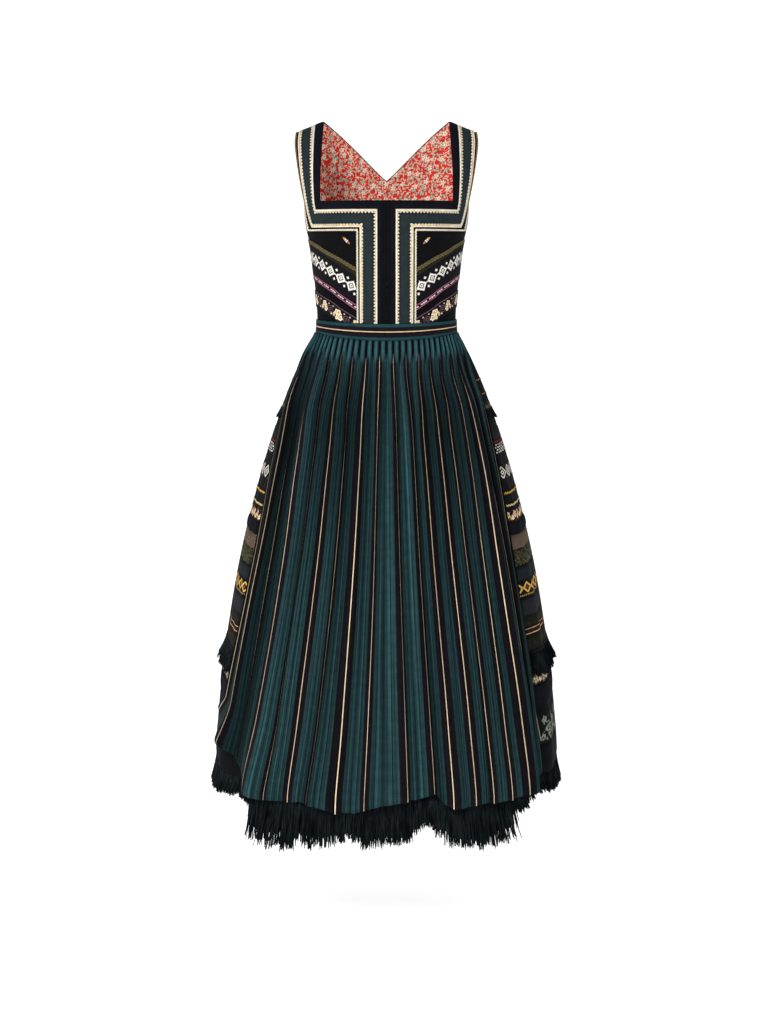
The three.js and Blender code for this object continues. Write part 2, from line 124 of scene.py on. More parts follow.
def levelAt(row, column):
    row, column = np.broadcast_arrays(np.asarray(row, float), np.asarray(column, float))
    wide = along(bodiceSections, -250, "halfWidth")
    x = wide * np.sin(angleAt(column, np.full(column.shape, -250.0)))
    share = np.maximum(0, (x - 50.4) / (wide - 50.4))
    guess = angleAt(column, np.full(column.shape, -345.0))
    stop = atWaist(bandTop, guess) + 0.5
    rows = [np.full(column.shape, float(z)) for z in frontLevels]
    rows += [np.maximum(centre + (side - centre) * share, stop) for side, centre in slantRows]
    rows += [stop, atWaist(waistLine, guess)]
    rows = np.stack(rows)
    low = np.clip(np.floor(row).astype(int), 0, len(rows) - 2)
    a = np.take_along_axis(rows, low[None], 0)[0]
    b = np.take_along_axis(rows, low[None] + 1, 0)[0]
    return a + (b - a) * (row - low)


def frontPoint(row, column, side):
    level = levelAt(row, column)
    p = bodicePoint(level, angleAt(column, level))
    return p * [side, 1, 1]


def skirtFold(angle, z):
    # the folds are deepest in front and behind, and the cloth hangs smoother at the sides
    share = np.clip((-350 - z) / (-350 - hem), 0, 1)
    turned = np.abs((np.degrees(angle) + 180) % 360 - 180)
    calm = 1 - 0.72 * np.exp(-((turned - 82) / 27) ** 4)
    return -(1.5 + 13.5 * share) * (0.5 - 0.5 * np.cos(16 * angle)) * calm


def skirtPoint(angle, z, lift):
    angle, z, lift = np.broadcast_arrays(np.asarray(angle, float), np.asarray(z, float), np.asarray(lift, float))
    power = 1 - 0.16 * np.clip((-416 - z) / (-416 - hem), 0, 1)
    s, c = np.sin(angle), np.cos(angle)
    depth = np.where(c >= 0, along(skirtSections, z, "front"), along(skirtSections, z, "back"))
    x = (along(skirtSections, z, "halfWidth") + lift) * np.sign(s) * np.abs(s) ** power
    y = -(depth + lift) * np.sign(c) * np.abs(c) ** power
    return np.stack([x, y, z], -1)


def hexColour(code):
    parts = [int(code[i:i + 2], 16) / 255 for i in (1, 3, 5)]
    return [p / 12.92 if p <= 0.04045 else ((p + 0.055) / 1.055) ** 2.4 for p in parts] + [1]


def node(tree, kind, *inputs, **settings):
    made = tree.nodes.new("ShaderNode" + kind)
    for name, value in settings.items():
        setattr(made, name, value)
    for i, value in enumerate(inputs):
        if value is None:
            continue
        if isinstance(value, bpy.types.Node):
            value = value.outputs[0]
        if isinstance(value, bpy.types.NodeSocket):
            tree.links.new(value, made.inputs[i])
        else:
            made.inputs[i].default_value = value
    return made


def ramp(tree, value, stops, reach=1):
    # stops are (distance, colour) pairs; the colour holds from that distance on
    spread = node(tree, "Math", value, 1 / reach, operation="MULTIPLY", use_clamp=True)
    made = node(tree, "ValToRGB", spread)
    made.color_ramp.interpolation = "CONSTANT"
    elements = made.color_ramp.elements
    while len(elements) < len(stops):
        elements.new(1)
    while len(elements) > len(stops):
        elements.remove(elements[-1])
    for element, (place, colour) in zip(elements, stops):
        element.position = place / reach
        element.color = hexColour(colour)
    return made


def clothFinish(name, roughness=0.92, sheen=0.03, sheenTint="#5A5A60", specular=0.05):
    # a matte woven cloth: little gloss, and a soft bloom where it turns away
    material = bpy.data.materials.new(name)
    material.use_nodes = True
    shader = material.node_tree.nodes["Principled BSDF"]
    shader.inputs["Roughness"].default_value = roughness
    shader.inputs["Specular IOR Level"].default_value = specular
    shader.inputs["Sheen Weight"].default_value = sheen
    shader.inputs["Sheen Roughness"].default_value = 0.5
    shader.inputs["Sheen Tint"].default_value = hexColour(sheenTint)
    return material, material.node_tree, shader


def uvOf(tree):
    # the piece's own map: u runs along the cloth and v down it, in millimetres
    uv = node(tree, "UVMap", uv_map="cloth")
    return node(tree, "SeparateXYZ", uv)


def weave(tree, shader, colour, pitch=1.4, depth=0.25):
    # threads, drawn as coarse as they need to be to show, and a little unevenness
    place = node(tree, "UVMap", uv_map="cloth")
    across = node(tree, "TexWave", place, bands_direction="X")
    across.inputs["Scale"].default_value = 0.314 / pitch
    down = node(tree, "TexWave", place, bands_direction="Y")
    down.inputs["Scale"].default_value = 0.314 / pitch
    threads = node(tree, "Math", across.outputs["Fac"], down.outputs["Fac"], operation="ADD")
    cloudy = node(tree, "TexNoise", place)
    cloudy.inputs["Scale"].default_value = 0.09
    cloudy.inputs["Detail"].default_value = 4
    height = node(tree, "Math", threads, cloudy.outputs["Fac"], operation="ADD")
    bump = node(tree, "Bump")
    bump.inputs["Strength"].default_value = depth
    bump.inputs["Distance"].default_value = 0.0006
    tree.links.new(height.outputs[0], bump.inputs["Height"])
    tree.links.new(bump.outputs[0], shader.inputs["Normal"])
    light = node(tree, "MapRange", cloudy.outputs["Fac"], 0.3, 0.7, 0.82, 1.16)
    shade = node(tree, "Mix", data_type="RGBA", blend_type="MULTIPLY")
    shade.inputs["Factor"].default_value = 1
    if isinstance(colour, str):
        shade.inputs[6].default_value = hexColour(colour)
    else:
        tree.links.new(colour, shade.inputs[6])
    tree.links.new(light.outputs[0], shade.inputs[7])
    tree.links.new(shade.outputs[2], shader.inputs["Base Color"])


def plainCloth(name, colour, pitch=1.4, depth=0.25, **look):
    material, tree, shader = clothFinish(name, **look)
    weave(tree, shader, colour, pitch, depth)
    return material


def chart(tree, uv, kind, pitch, middle, steep=1, step=0, shift=0):
    # distance in millimetres from a figure that repeats along the ribbon
    u, v = node(tree, "Math", uv.outputs[0], shift, operation="ADD"), uv.outputs[1]
    if step:
        u = node(tree, "Math", u, step, operation="SNAP")
        v = node(tree, "Math", v, step, operation="SNAP")
    if kind == "speck":
        # single threads that come up here and there
        cell = node(tree, "CombineXYZ", node(tree, "Math", u, pitch, operation="SNAP"),
                    node(tree, "Math", v, pitch * steep, operation="SNAP"), 0.0)
        return node(tree, "TexWhiteNoise", cell, noise_dimensions="2D").outputs["Value"]
    if kind == "barb":
        lean = node(tree, "Math", node(tree, "Math", v, middle, operation="SUBTRACT"), operation="ABSOLUTE")
        return node(tree, "Math", node(tree, "Math", lean, steep, u, operation="MULTIPLY_ADD"), pitch / 2,
                    operation="PINGPONG")
    if kind == "flower":
        near = node(tree, "Math", u, pitch / 2, -pitch / 2, operation="WRAP")
        off = node(tree, "Math", v, middle, operation="SUBTRACT")
        turn = node(tree, "Math", node(tree, "Math", off, near, operation="ARCTAN2"), 5.0, operation="MULTIPLY")
        lobes = node(tree, "Math", node(tree, "Math", turn, operation="COSINE"), 0.2, 1.0, operation="MULTIPLY_ADD")
        away = node(tree, "VectorMath", node(tree, "CombineXYZ", near, off, 0.0), operation="LENGTH")
        return node(tree, "Math", away.outputs["Value"], lobes, operation="MULTIPLY")
    side = node(tree, "Math", u, pitch / 2, operation="PINGPONG")
    side = node(tree, "Math", side, steep, operation="MULTIPLY")
    off = node(tree, "Math", v, middle, operation="SUBTRACT")
    if kind == "zigzag":
        off = node(tree, "Math", off, pitch * steep / 4, operation="ADD")
        return node(tree, "Math", node(tree, "Math", off, side, operation="SUBTRACT"), operation="ABSOLUTE")
    off = node(tree, "Math", off, operation="ABSOLUTE")
    if kind == "dot":
        return node(tree, "VectorMath", node(tree, "CombineXYZ", side, off, 0.0), operation="LENGTH").outputs["Value"]
    if kind == "dash":
        return node(tree, "Math", side, off, operation="MAXIMUM")
    if kind == "lattice":
        return node(tree, "Math", node(tree, "Math", off, side, operation="SUBTRACT"), operation="ABSOLUTE")
    return node(tree, "Math", off, side, operation="ADD")


def over(tree, below, above, mask):
    made = node(tree, "Mix", data_type="RGBA")
    tree.links.new(mask, made.inputs[0])
    for place, colour in ((6, below), (7, above)):
        if isinstance(colour, str):
            made.inputs[place].default_value = hexColour(colour)
        else:
            tree.links.new(colour, made.inputs[place])
    return made.outputs[2]


def blossoms(tree, uv, size, petals, reach, seed=0.0, randomness=0.75):
    # scattered flowers, each turned its own way: the petals' and the eyes' masks
    place = node(tree, "CombineXYZ", node(tree, "Math", uv.outputs[0], seed, operation="ADD"),
                 node(tree, "Math", uv.outputs[1], seed, operation="ADD"), 0.0)
    cells = node(tree, "TexVoronoi", place, voronoi_dimensions="2D")
    cells.inputs["Scale"].default_value = 1 / size
    cells.inputs["Randomness"].default_value = randomness
    away = node(tree, "VectorMath", place, cells.outputs["Position"], operation="SUBTRACT")
    flat = node(tree, "SeparateXYZ", away)
    turn = node(tree, "Math", flat.outputs[1], flat.outputs[0], operation="ARCTAN2")
    chance = node(tree, "SeparateColor", cells.outputs["Color"])
    turned = node(tree, "Math", chance.outputs[0], 6.28, turn, operation="MULTIPLY_ADD")
    lobes = node(tree, "Math", node(tree, "Math", turned, petals, operation="MULTIPLY"), operation="COSINE")
    edge = node(tree, "Math", lobes, reach * size * 0.28, reach * size * 0.72, operation="MULTIPLY_ADD")
    distance = node(tree, "VectorMath", away, operation="LENGTH").outputs["Value"]
    petal = node(tree, "Math", distance, edge, operation="LESS_THAN")
    eye = node(tree, "Math", distance, reach * size * 0.28, operation="LESS_THAN")
    return petal.outputs[0], eye.outputs[0]


def leaves(tree, uv, size, length, slim, seed=0.0):
    # scattered leaves, each turned its own way
    place = node(tree, "CombineXYZ", node(tree, "Math", uv.outputs[0], seed, operation="ADD"),
                 node(tree, "Math", uv.outputs[1], seed, operation="ADD"), 0.0)
    cells = node(tree, "TexVoronoi", place, voronoi_dimensions="2D")
    cells.inputs["Scale"].default_value = 1 / size
    away = node(tree, "VectorMath", place, cells.outputs["Position"], operation="SUBTRACT")
    chance = node(tree, "SeparateColor", cells.outputs["Color"])
    turned = node(tree, "VectorRotate", away, rotation_type="Z_AXIS")
    tree.links.new(node(tree, "Math", chance.outputs[1], 6.28, operation="MULTIPLY").outputs[0], turned.inputs["Angle"])
    parts = node(tree, "SeparateXYZ", turned)
    across = node(tree, "Math", parts.outputs[1], slim, operation="MULTIPLY")
    shape = node(tree, "VectorMath", node(tree, "CombineXYZ", parts.outputs[0], across, 0.0), operation="LENGTH")
    return node(tree, "Math", shape.outputs["Value"], length / 2, operation="LESS_THAN").outputs[0]


def normalsOf(points, ring):
    if ring:
        wrapped = np.concatenate([points[:, -1:], points, points[:, :1]], 1)
        du = (wrapped[:, 2:] - wrapped[:, :-2])
    else:
        du = np.gradient(points, axis=1)
    dv = np.gradient(points, axis=0)
    n = np.cross(dv, du)
    return n / np.maximum(np.linalg.norm(n, axis=-1, keepdims=True), 1e-9)


def lifted(points, distance, ring=False):
    return points + normalsOf(points, ring) * distance


def flatMap(points, ring=False):
    # u from the length of the middle row, v from the length of each column
    grid = np.concatenate([points, points[:, :1]], 1) if ring else points
    middle = grid[len(grid) // 2]
    u = np.concatenate([[0], np.cumsum(np.linalg.norm(np.diff(middle, axis=0), axis=1))])
    steps = np.linalg.norm(np.diff(grid, axis=0), axis=2)
    v = np.concatenate([np.zeros((1, grid.shape[1])), np.cumsum(steps, axis=0)])
    return np.stack([np.broadcast_to(u, v.shape), v], -1)


def clothMesh(name, patches, materials, thickness=0.0, outward=True, shade=None):
    # each patch is (points, uv, ring), all in millimetres; they are joined where they meet
    points, faces, maps, start = [], [], [], 0
    for grid, uv, ring in patches:
        rows, columns = grid.shape[:2]
        index = start + np.arange(rows * columns).reshape(rows, columns)
        start += rows * columns
        points.append(grid.reshape(-1, 3))
        right = np.roll(index, -1, 1) if ring else index[:, 1:]
        left = index if ring else index[:, :-1]
        quads = np.stack([left[:-1], left[1:], right[1:], right[:-1]], -1)
        corner = np.stack([uv[:-1, :-1], uv[1:, :-1], uv[1:, 1:], uv[:-1, 1:]], 2)
        keep = ~np.isnan(grid).any(-1).reshape(-1)[(quads - index[0, 0]).reshape(-1, 4)].any(1)
        faces.append(quads.reshape(-1, 4)[keep])
        maps.append(corner.reshape(-1, 4, 2)[keep])
    mesh = bpy.data.meshes.new(name)
    allPoints = np.nan_to_num(np.concatenate(points)) / 1000
    mesh.from_pydata(allPoints.tolist(), [], np.concatenate(faces).tolist())
    layer = mesh.uv_layers.new(name="cloth")
    layer.data.foreach_set("uv", np.concatenate(maps).reshape(-1).astype(np.float32))
    # the shade values, painted shade, go into a second map, one value at each corner
    if shade is not None:
        corner = np.stack([shade[:-1, :-1], shade[1:, :-1], shade[1:, 1:], shade[:-1, 1:]], 2).reshape(-1)
        hollow = mesh.uv_layers.new(name="hollow")
        hollow.data.foreach_set("uv", np.stack([corner, 0 * corner], -1).reshape(-1).astype(np.float32))
    mesh.polygons.foreach_set("use_smooth", [True] * len(mesh.polygons))
    for material in materials:
        mesh.materials.append(material)
    piece = bpy.data.objects.new(name, mesh)
    bpy.context.scene.collection.objects.link(piece)
    bpy.context.view_layer.objects.active = piece
    piece.select_set(True)
    bpy.ops.object.mode_set(mode="EDIT")
    bpy.ops.mesh.select_all(action="SELECT")
    bpy.ops.mesh.remove_doubles(threshold=0.000012)
    bpy.ops.mesh.delete_loose()
    bpy.ops.object.mode_set(mode="OBJECT")
    if thickness:
        solidify = piece.modifiers.new("wall", "SOLIDIFY")
        solidify.thickness = thickness / 1000
        solidify.offset = 1 if outward else -1
        solidify.use_even_offset = False
        bpy.ops.object.modifier_apply(modifier="wall")
    piece.select_set(False)
    return piece


def yarnMesh(name, points, faces, uv, material):
    # piping and strands: every point has its own place on the map, in millimetres
    mesh = bpy.data.meshes.new(name)
    mesh.from_pydata((points.reshape(-1, 3) / 1000).tolist(), [], faces)
    layer = mesh.uv_layers.new(name="cloth")
    loops = np.array([loop.vertex_index for loop in mesh.loops])
    layer.data.foreach_set("uv", uv[loops].reshape(-1).astype(np.float32))
    mesh.polygons.foreach_set("use_smooth", [True] * len(mesh.polygons))
    mesh.materials.append(material)
    made = bpy.data.objects.new(name, mesh)
    bpy.context.scene.collection.objects.link(made)
    return made


def finishPiece(piece, slotName, *replaced):
    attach(piece, "root")
    if replaced:
        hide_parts(*replaced)
    return piece


shot = {"distance": 3150, "height": -184, "tilt": 9.0, "focalPixels": 1778.6, "centrePixel": 386.5,
        "frameWidth": 768, "frameHeight": 1024, "sensor": 36}
cameraData = bpy.data.cameras.new("camera")
camera = bpy.data.objects.new("camera", cameraData)
bpy.context.scene.collection.objects.link(camera)
cameraData.lens = shot["focalPixels"] / shot["frameHeight"] * shot["sensor"]
cameraData.shift_x = (shot["frameWidth"] / 2 - shot["centrePixel"]) / shot["frameHeight"]
camera.location = (0, -shot["distance"] / 1000, shot["height"] / 1000)
camera.rotation_euler = (math.radians(90 - shot["tilt"]), 0, 0)
cameraData.clip_end = 60
bpy.context.scene.camera = camera
bpy.context.scene.view_settings.view_transform = "Standard"

sweep = {"size": 24, "level": -1.42, "wall": 14, "bend": 5, "steps": 12, "grey": "#F4F4F4", "glow": 0.7}
bpy.ops.mesh.primitive_plane_add(size=sweep["size"], location=(0, 0, sweep["level"]))
floor = bpy.context.object
floor.name = "floor"
bpy.ops.object.mode_set(mode="EDIT")
bpy.ops.mesh.select_mode(type="EDGE")
bpy.ops.mesh.select_all(action="DESELECT")
bpy.ops.object.mode_set(mode="OBJECT")
for edge in floor.data.edges:
    edge.select = all(floor.data.vertices[v].co.y > 0 for v in edge.vertices)
bpy.ops.object.mode_set(mode="EDIT")
bpy.ops.mesh.extrude_region_move(TRANSFORM_OT_translate={"value": (0, 0, sweep["wall"])})
bpy.ops.mesh.select_all(action="DESELECT")
bpy.ops.object.mode_set(mode="OBJECT")
bend = floor.modifiers.new("sweep", "BEVEL")
bend.width = sweep["bend"]
bend.segments = sweep["steps"]
bend.affect = "EDGES"
bend.limit_method = "ANGLE"
bpy.ops.object.modifier_apply(modifier="sweep")
bpy.ops.object.transform_apply(location=True, rotation=True, scale=True)
bpy.ops.object.shade_smooth()
floor.select_set(False)
# seamless studio paper: matt and pale
paper = bpy.data.materials.new("seamless paper")
paper.use_nodes = True
paperShader = paper.node_tree.nodes["Principled BSDF"]
for socket, value in (("Base Color", hexColour(sweep["grey"])), ("Roughness", 0.9),
                      ("Emission Color", (1, 1, 1, 1)), ("Emission Strength", sweep["glow"])):
    paperShader.inputs[socket].default_value = value
floor.data.materials.append(paper)

world = bpy.data.worlds.new("studio")
bpy.context.scene.world = world
world.use_nodes = True
world.node_tree.nodes["Background"].inputs[0].default_value = (1, 1, 1, 1)
world.node_tree.nodes["Background"].inputs[1].default_value = 0.24

softBoxes = [
    {"name": "keySoftBox", "place": (-1.2, -3.2, 1.5), "aim": (0, 0, -0.5), "size": 1.0, "watts": 110},
    {"name": "fillSoftBox", "place": (2.4, -2.6, 0.3), "aim": (0, 0, -0.7), "size": 2.2, "watts": 8},
    {"name": "leftRim", "place": (-2.2, 1.6, 0.6), "aim": (0, 0, -0.6), "size": 1.4, "watts": 14},
    {"name": "rightRim", "place": (2.2, 1.6, 0.6), "aim": (0, 0, -0.6), "size": 1.4, "watts": 14},
]
for box in softBoxes:
    lampData = bpy.data.lights.new(box["name"], "AREA")
    lampData.size = box["size"]
    lampData.energy = box["watts"]
    lamp = bpy.data.objects.new(box["name"], lampData)
    bpy.context.scene.collection.objects.link(lamp)
    lamp.location = box["place"]
    lamp.rotation_mode = "QUATERNION"
    lamp.rotation_quaternion = (Vector(box["aim"]) - Vector(box["place"])).to_track_quat("-Z", "Y")
print("stage ready")

# plain-woven black cotton: soaks up light, with threads that only just show
blackCotton = plainCloth("matt black cotton", "#0D0E10", pitch=1.2, depth=0.2, sheen=0.03)

# printed cotton lining: red ground, small white flowers with yellow eyes, mint leaves, thin vines
lining = {"ground": "#DA3029", "petal": "#F3E9DD", "eye": "#E6B33C", "leaf": "#A6DDC6", "vine": "#F0B8A8"}
redPrint, tree, shader = clothFinish("printed cotton lining", roughness=0.8, sheen=0.1, sheenTint="#C08070")
uv = uvOf(tree)
vineNoise = node(tree, "TexNoise", node(tree, "CombineXYZ", uv.outputs[0], uv.outputs[1], 3.0))
vineNoise.inputs["Scale"].default_value = 0.075
vineNoise.inputs["Detail"].default_value = 0
vineLine = node(tree, "Math", vineNoise.outputs["Fac"], 0.5, 0.008, operation="COMPARE")
ground = over(tree, lining["ground"], lining["vine"], vineLine.outputs[0])
for size, length, slim, seed, tint in ((9.5, 6.0, 3.0, 11, lining["leaf"]), (8.2, 4.6, 2.8, 47, lining["leaf"]),
                                       (9.0, 4.4, 3.4, 83, lining["petal"]), (13.0, 8.0, 3.4, 131, "#7AC6AB")):
    ground = over(tree, ground, tint, leaves(tree, uv, size, length, slim, seed))
for size, petals, reach, seed, petalTint, eyeTint in ((11.0, 5, 0.19, 19, "#F6E3B4", "#D2352C"),
                                                      (22.0, 5, 0.235, 60, lining["petal"], lining["eye"])):
    petal, eye = blossoms(tree, uv, size, petals, reach, seed)
    ground = over(tree, ground, petalTint, petal)
    ground = over(tree, ground, eyeTint, eye)
weave(tree, shader, ground, pitch=1.0, depth=0.1)

fine = 4  # steps in each cell of the ribbon layout
for word, side in (("right", 1), ("left", -1)):
    rows = np.linspace(0, 19, 19 * fine + 1)[:, None]
    columns = np.linspace(0, 15, 15 * fine + 1)[None]
    grid = frontPoint(rows, columns, side)
    cut = (rows < 5 - 1e-6) & (columns < 9 - 1e-6)
    grid[np.broadcast_to(cut, grid.shape[:2])] = np.nan
    if side < 0:
        grid = grid[:, ::-1]
    uv = np.stack([np.arctan2(np.nan_to_num(grid[..., 0]), 100) * 150, -np.nan_to_num(grid[..., 2])], -1)
    front = clothMesh(f"bodiceFront_{word}", [(grid, uv, False)], [blackCotton, redPrint], 0)
    wall = front.modifiers.new("wall", "SOLIDIFY")
    wall.thickness, wall.offset, wall.material_offset = cloth / 1000, 1, 1
    bpy.context.view_layer.objects.active = front
    bpy.ops.object.modifier_apply(modifier="wall")
    finishPiece(front, "bodice_cloth", f"bodice_front_{word}")


backSteps = {"neck": 22, "below": 32, "across": 36, "foot": -340, "hidden": -350}


def backPatches(lift):
    rows = np.concatenate([np.linspace(0, backNeck, backSteps["neck"]),
                           np.linspace(backNeck, backSteps["foot"], backSteps["below"])[1:],
                           [backSteps["hidden"]]])[:, None]
    share = np.linspace(0, 1, backSteps["across"])[None]
    halfWidth = along(bodiceSections, rows, "halfWidth")
    opening = np.clip((rows - backNeck) / -backNeck, 0, None)
    inner = np.arcsin(108 * opening ** 0.88 / halfWidth)
    outer = math.pi / 2 - 0.2 / along(bodiceSections, rows, "back")
    hole = np.radians(along(armholeAngle, rows, "deg"))
    outer = np.where(rows >= neckline, np.arcsin(along(strapOuter, rows, "x") / halfWidth),
                     np.where(rows > armholeBottom, np.minimum(outer, hole), outer))
    right = bodicePoint(rows, math.pi - (inner + (outer - inner) * share))
    right[..., 1] = np.abs(right[..., 1])
    left = right * [-1, 1, 1]
    patches = []
    for grid in (right[:, ::-1], left):
        if lift:
            grid = lifted(grid, lift)
        uv = np.stack([grid[..., 0] * 1.15 + grid[..., 1] * 0.2, -grid[..., 2]], -1)
        patches.append((grid, uv, False))
    return patches


back = clothMesh("bodiceBack", backPatches(0), [blackCotton], cloth)
finishPiece(back, "bodice_cloth", "bodice_back")
liningPatches = backPatches(-0.9)
for grid, uv, ring in liningPatches:
    centre = np.abs(grid[..., 0]) < 0.6
    grid[centre, 0] = 0
liningBack = clothMesh("liningBack", liningPatches, [redPrint], 1.0, outward=False)
finishPiece(liningBack, "red_lining", "lining_back")
print("bodice panels ready")

# black cotton velvet: very dark face on, a soft bloom at the turned edges
velvet, tree, shader = clothFinish("cotton velvet", roughness=1.0, sheen=0.2, sheenTint="#2B2D38", specular=0.02)
weave(tree, shader, "#13141A", pitch=0.9, depth=0.35)


def figure(kind, pitch, middle, rings, steep=1, step=0, shift=0):
    # a line or spot that repeats along a ribbon; each ring is (from, to, colour), in millimetres from its middle
    return {"chart": (kind, pitch, middle, steep, step, shift), "rings": rings}


def bandedCloth(name, ground, figures=(), pitch=1.0, depth=0.3, **look):
    # ground is (distance down the ribbon, colour) stops; each figure draws one repeating line or spot
    material, tree, shader = clothFinish(name, **look)
    uv = uvOf(tree)
    reach = ground[-1][0] + 60
    colour = ramp(tree, uv.outputs[1], ground, reach).outputs[0]
    for drawn in figures:
        distance = chart(tree, uv, *drawn["chart"])
        for low, high, tint in drawn["rings"]:
            mask = node(tree, "Math", distance, (low + high) / 2, (high - low) / 2, operation="COMPARE")
            colour = over(tree, colour, tint, mask.outputs[0])
    weave(tree, shader, colour, pitch, depth)
    return material


pathSteps = {"strap": 270, "level": 132, "fall": 246}
pathPart = np.repeat([0, 1, 2], list(pathSteps.values()))
pathShare = np.concatenate([np.linspace(0, 1, pathSteps["strap"]), np.linspace(0, 1, pathSteps["level"] + 2)[1:-1],
                            np.linspace(0, 1, pathSteps["fall"])])
corners = np.flatnonzero(np.diff(pathPart))
plainSteps = np.unique(np.concatenate([np.arange(0, len(pathPart), 5), corners, corners + 1, [len(pathPart) - 1]]))


def rowFor(level, column):
    rows = np.linspace(0, 18, 721)
    return np.interp(-level, -levelAt(rows, np.full(721, float(column))), rows)


def columnFor(x, row, first, last):
    columns = np.linspace(first, last, 300)
    level = levelAt(np.full(300, float(row)), columns)
    return np.interp(x, bodicePoint(level, angleAt(columns, level))[:, 0], columns)


def trimEdges(start, front, strap):
    # both edges of a trim that runs down the strap, along the neckline and down beside the closing, kept in step so
    # that every line across it is square to it, and fanned round its two corners
    upper, lower = (start, front, 9 + strap), (start + 1, front + 1, 10 + strap)
    level = [float(levelAt(row, far)) for row, near, far in (upper, lower)]
    far = [frontPoint(row, far, 1)[0] for row, near, far in (upper, lower)]
    near = [frontPoint(row, near, 1)[0] for row, near, far in (upper, lower)]
    begin = [float(levelAt(row, near)) for row, near, far in (upper, lower)]
    strapShare, levelShare, fallShare = (pathShare[pathPart == k] for k in range(3))
    down = level[1] * strapShare
    inward = far[1] + (near[0] - far[1]) * levelShare
    fall = begin[0] + (float(levelAt(18, front)) - begin[0]) * fallShare
    rows = [np.concatenate([rowFor(np.maximum(down, level[0]), upper[2]), 0 * inward + start, rowFor(fall, front)]),
            np.concatenate([rowFor(down, lower[2]), 0 * inward + start + 1,
                            rowFor(np.minimum(fall, begin[1]), front + 1)])]
    columns = [np.concatenate([0 * down + upper[2], columnFor(np.minimum(inward, far[0]), start, front, upper[2]),
                               0 * fall + front]),
               np.concatenate([0 * down + lower[2], columnFor(np.maximum(inward, near[1]), start + 1, front + 1,
                                                              lower[2]), 0 * fall + front + 1])]
    return rows, columns


def trimPath(edges, across):
    rows, columns = edges
    return rows[0] + (rows[1] - rows[0]) * across, columns[0] + (columns[1] - columns[0]) * across


def frontFacing(rows, columns, side):
    # the way that the bodice's cloth faces at each place
    reach = 0.02
    down = frontPoint(rows + reach, columns, side) - frontPoint(rows - reach, columns, side)
    over = frontPoint(rows, columns + reach, side) - frontPoint(rows, columns - reach, side)
    facing = np.cross(down, over)
    facing /= np.maximum(np.linalg.norm(facing, axis=-1, keepdims=True), 1e-9)
    return facing * np.sign(np.sum(facing * frontPoint(rows, columns, side) * [1, 1, 0], -1))[..., None]


def ribbonMap(grid):
    # u along the ribbon's middle, v straight across it
    middle = grid[len(grid) // 2]
    steps = np.linalg.norm(np.diff(middle, axis=0), axis=1)
    u = np.concatenate([[0], np.cumsum(steps)])
    tangent = np.gradient(middle, axis=0)
    tangent /= np.maximum(np.linalg.norm(tangent, axis=1, keepdims=True), 1e-9)
    offset = grid - grid[:1]
    slide = np.sum(offset * tangent[None], -1)
    across = np.linalg.norm(offset - slide[..., None] * tangent[None], axis=-1)
    return np.stack([u[None] + slide, across], -1)


neckTrims = {
    "velvetEdging": {"start": 5, "front": 1, "strap": 0, "height": 1.3, "wide": 7.2, "slot": "black_velvet",
                     "node": "velvet_edging"},
    "innerBraid": {"start": 6, "front": 2, "strap": 1, "height": 1.3, "wide": 7.2, "slot": "cream_braid",
                   "node": "inner_braid"},
    "slateRibbon": {"start": 7, "front": 3, "strap": 2, "height": 1.0, "wide": 17, "slot": "slate_ribbon",
                    "node": "slate_ribbon"},
    "outerBraid": {"start": 8, "front": 4, "strap": 3, "height": 1.3, "wide": 7.2, "slot": "cream_braid",
                   "node": "outer_braid"},
    "wavyBraid": {"start": 10, "front": 6, "strap": 5, "height": 1.1, "wide": 3, "slot": "cream_braid",
                  "node": "wavy_braid"},
}
# slate ribbon with a fine rib: flat grey green, a shade darker at its edges
slate = bandedCloth("slate rib ribbon", [(0, "#1B2225"), (0.9, "#252E31"), (16, "#1B2225")], pitch=1.6, depth=0.45)
braidLook = {"pitch": 5.8, "straight": 0.46, "white": "#EFE8DA", "yellow": "#E2B94C", "orange": "#D08A3A"}
wavyLook = {"pitch": 4.8, "thick": 0.28, "swing": 0.26, "onStrap": 0.5}

# mercerised cotton braid: a white edge, a warm line and small pointed loops
braid, tree, shader = clothFinish("woven cream braid", roughness=0.6, sheen=0.1)
parts = uvOf(tree)
warm = node(tree, "MapRange", parts.outputs[0], 90, 150, 0.0, 1.0)
line = over(tree, braidLook["orange"], braidLook["yellow"], warm.outputs[0])
isLine = node(tree, "Math", parts.outputs[1], 3.1, 0.5, operation="COMPARE")
beads = chart(tree, parts, "dot", braidLook["pitch"], 3.7, shift=braidLook["pitch"] / 2)
isBead = node(tree, "Math", beads, 1.25, operation="LESS_THAN")
colour = over(tree, braidLook["white"], line, isLine.outputs[0])
colour = over(tree, colour, "#E3BE58", isBead.outputs[0])
weave(tree, shader, colour, pitch=0.9, depth=0.5)
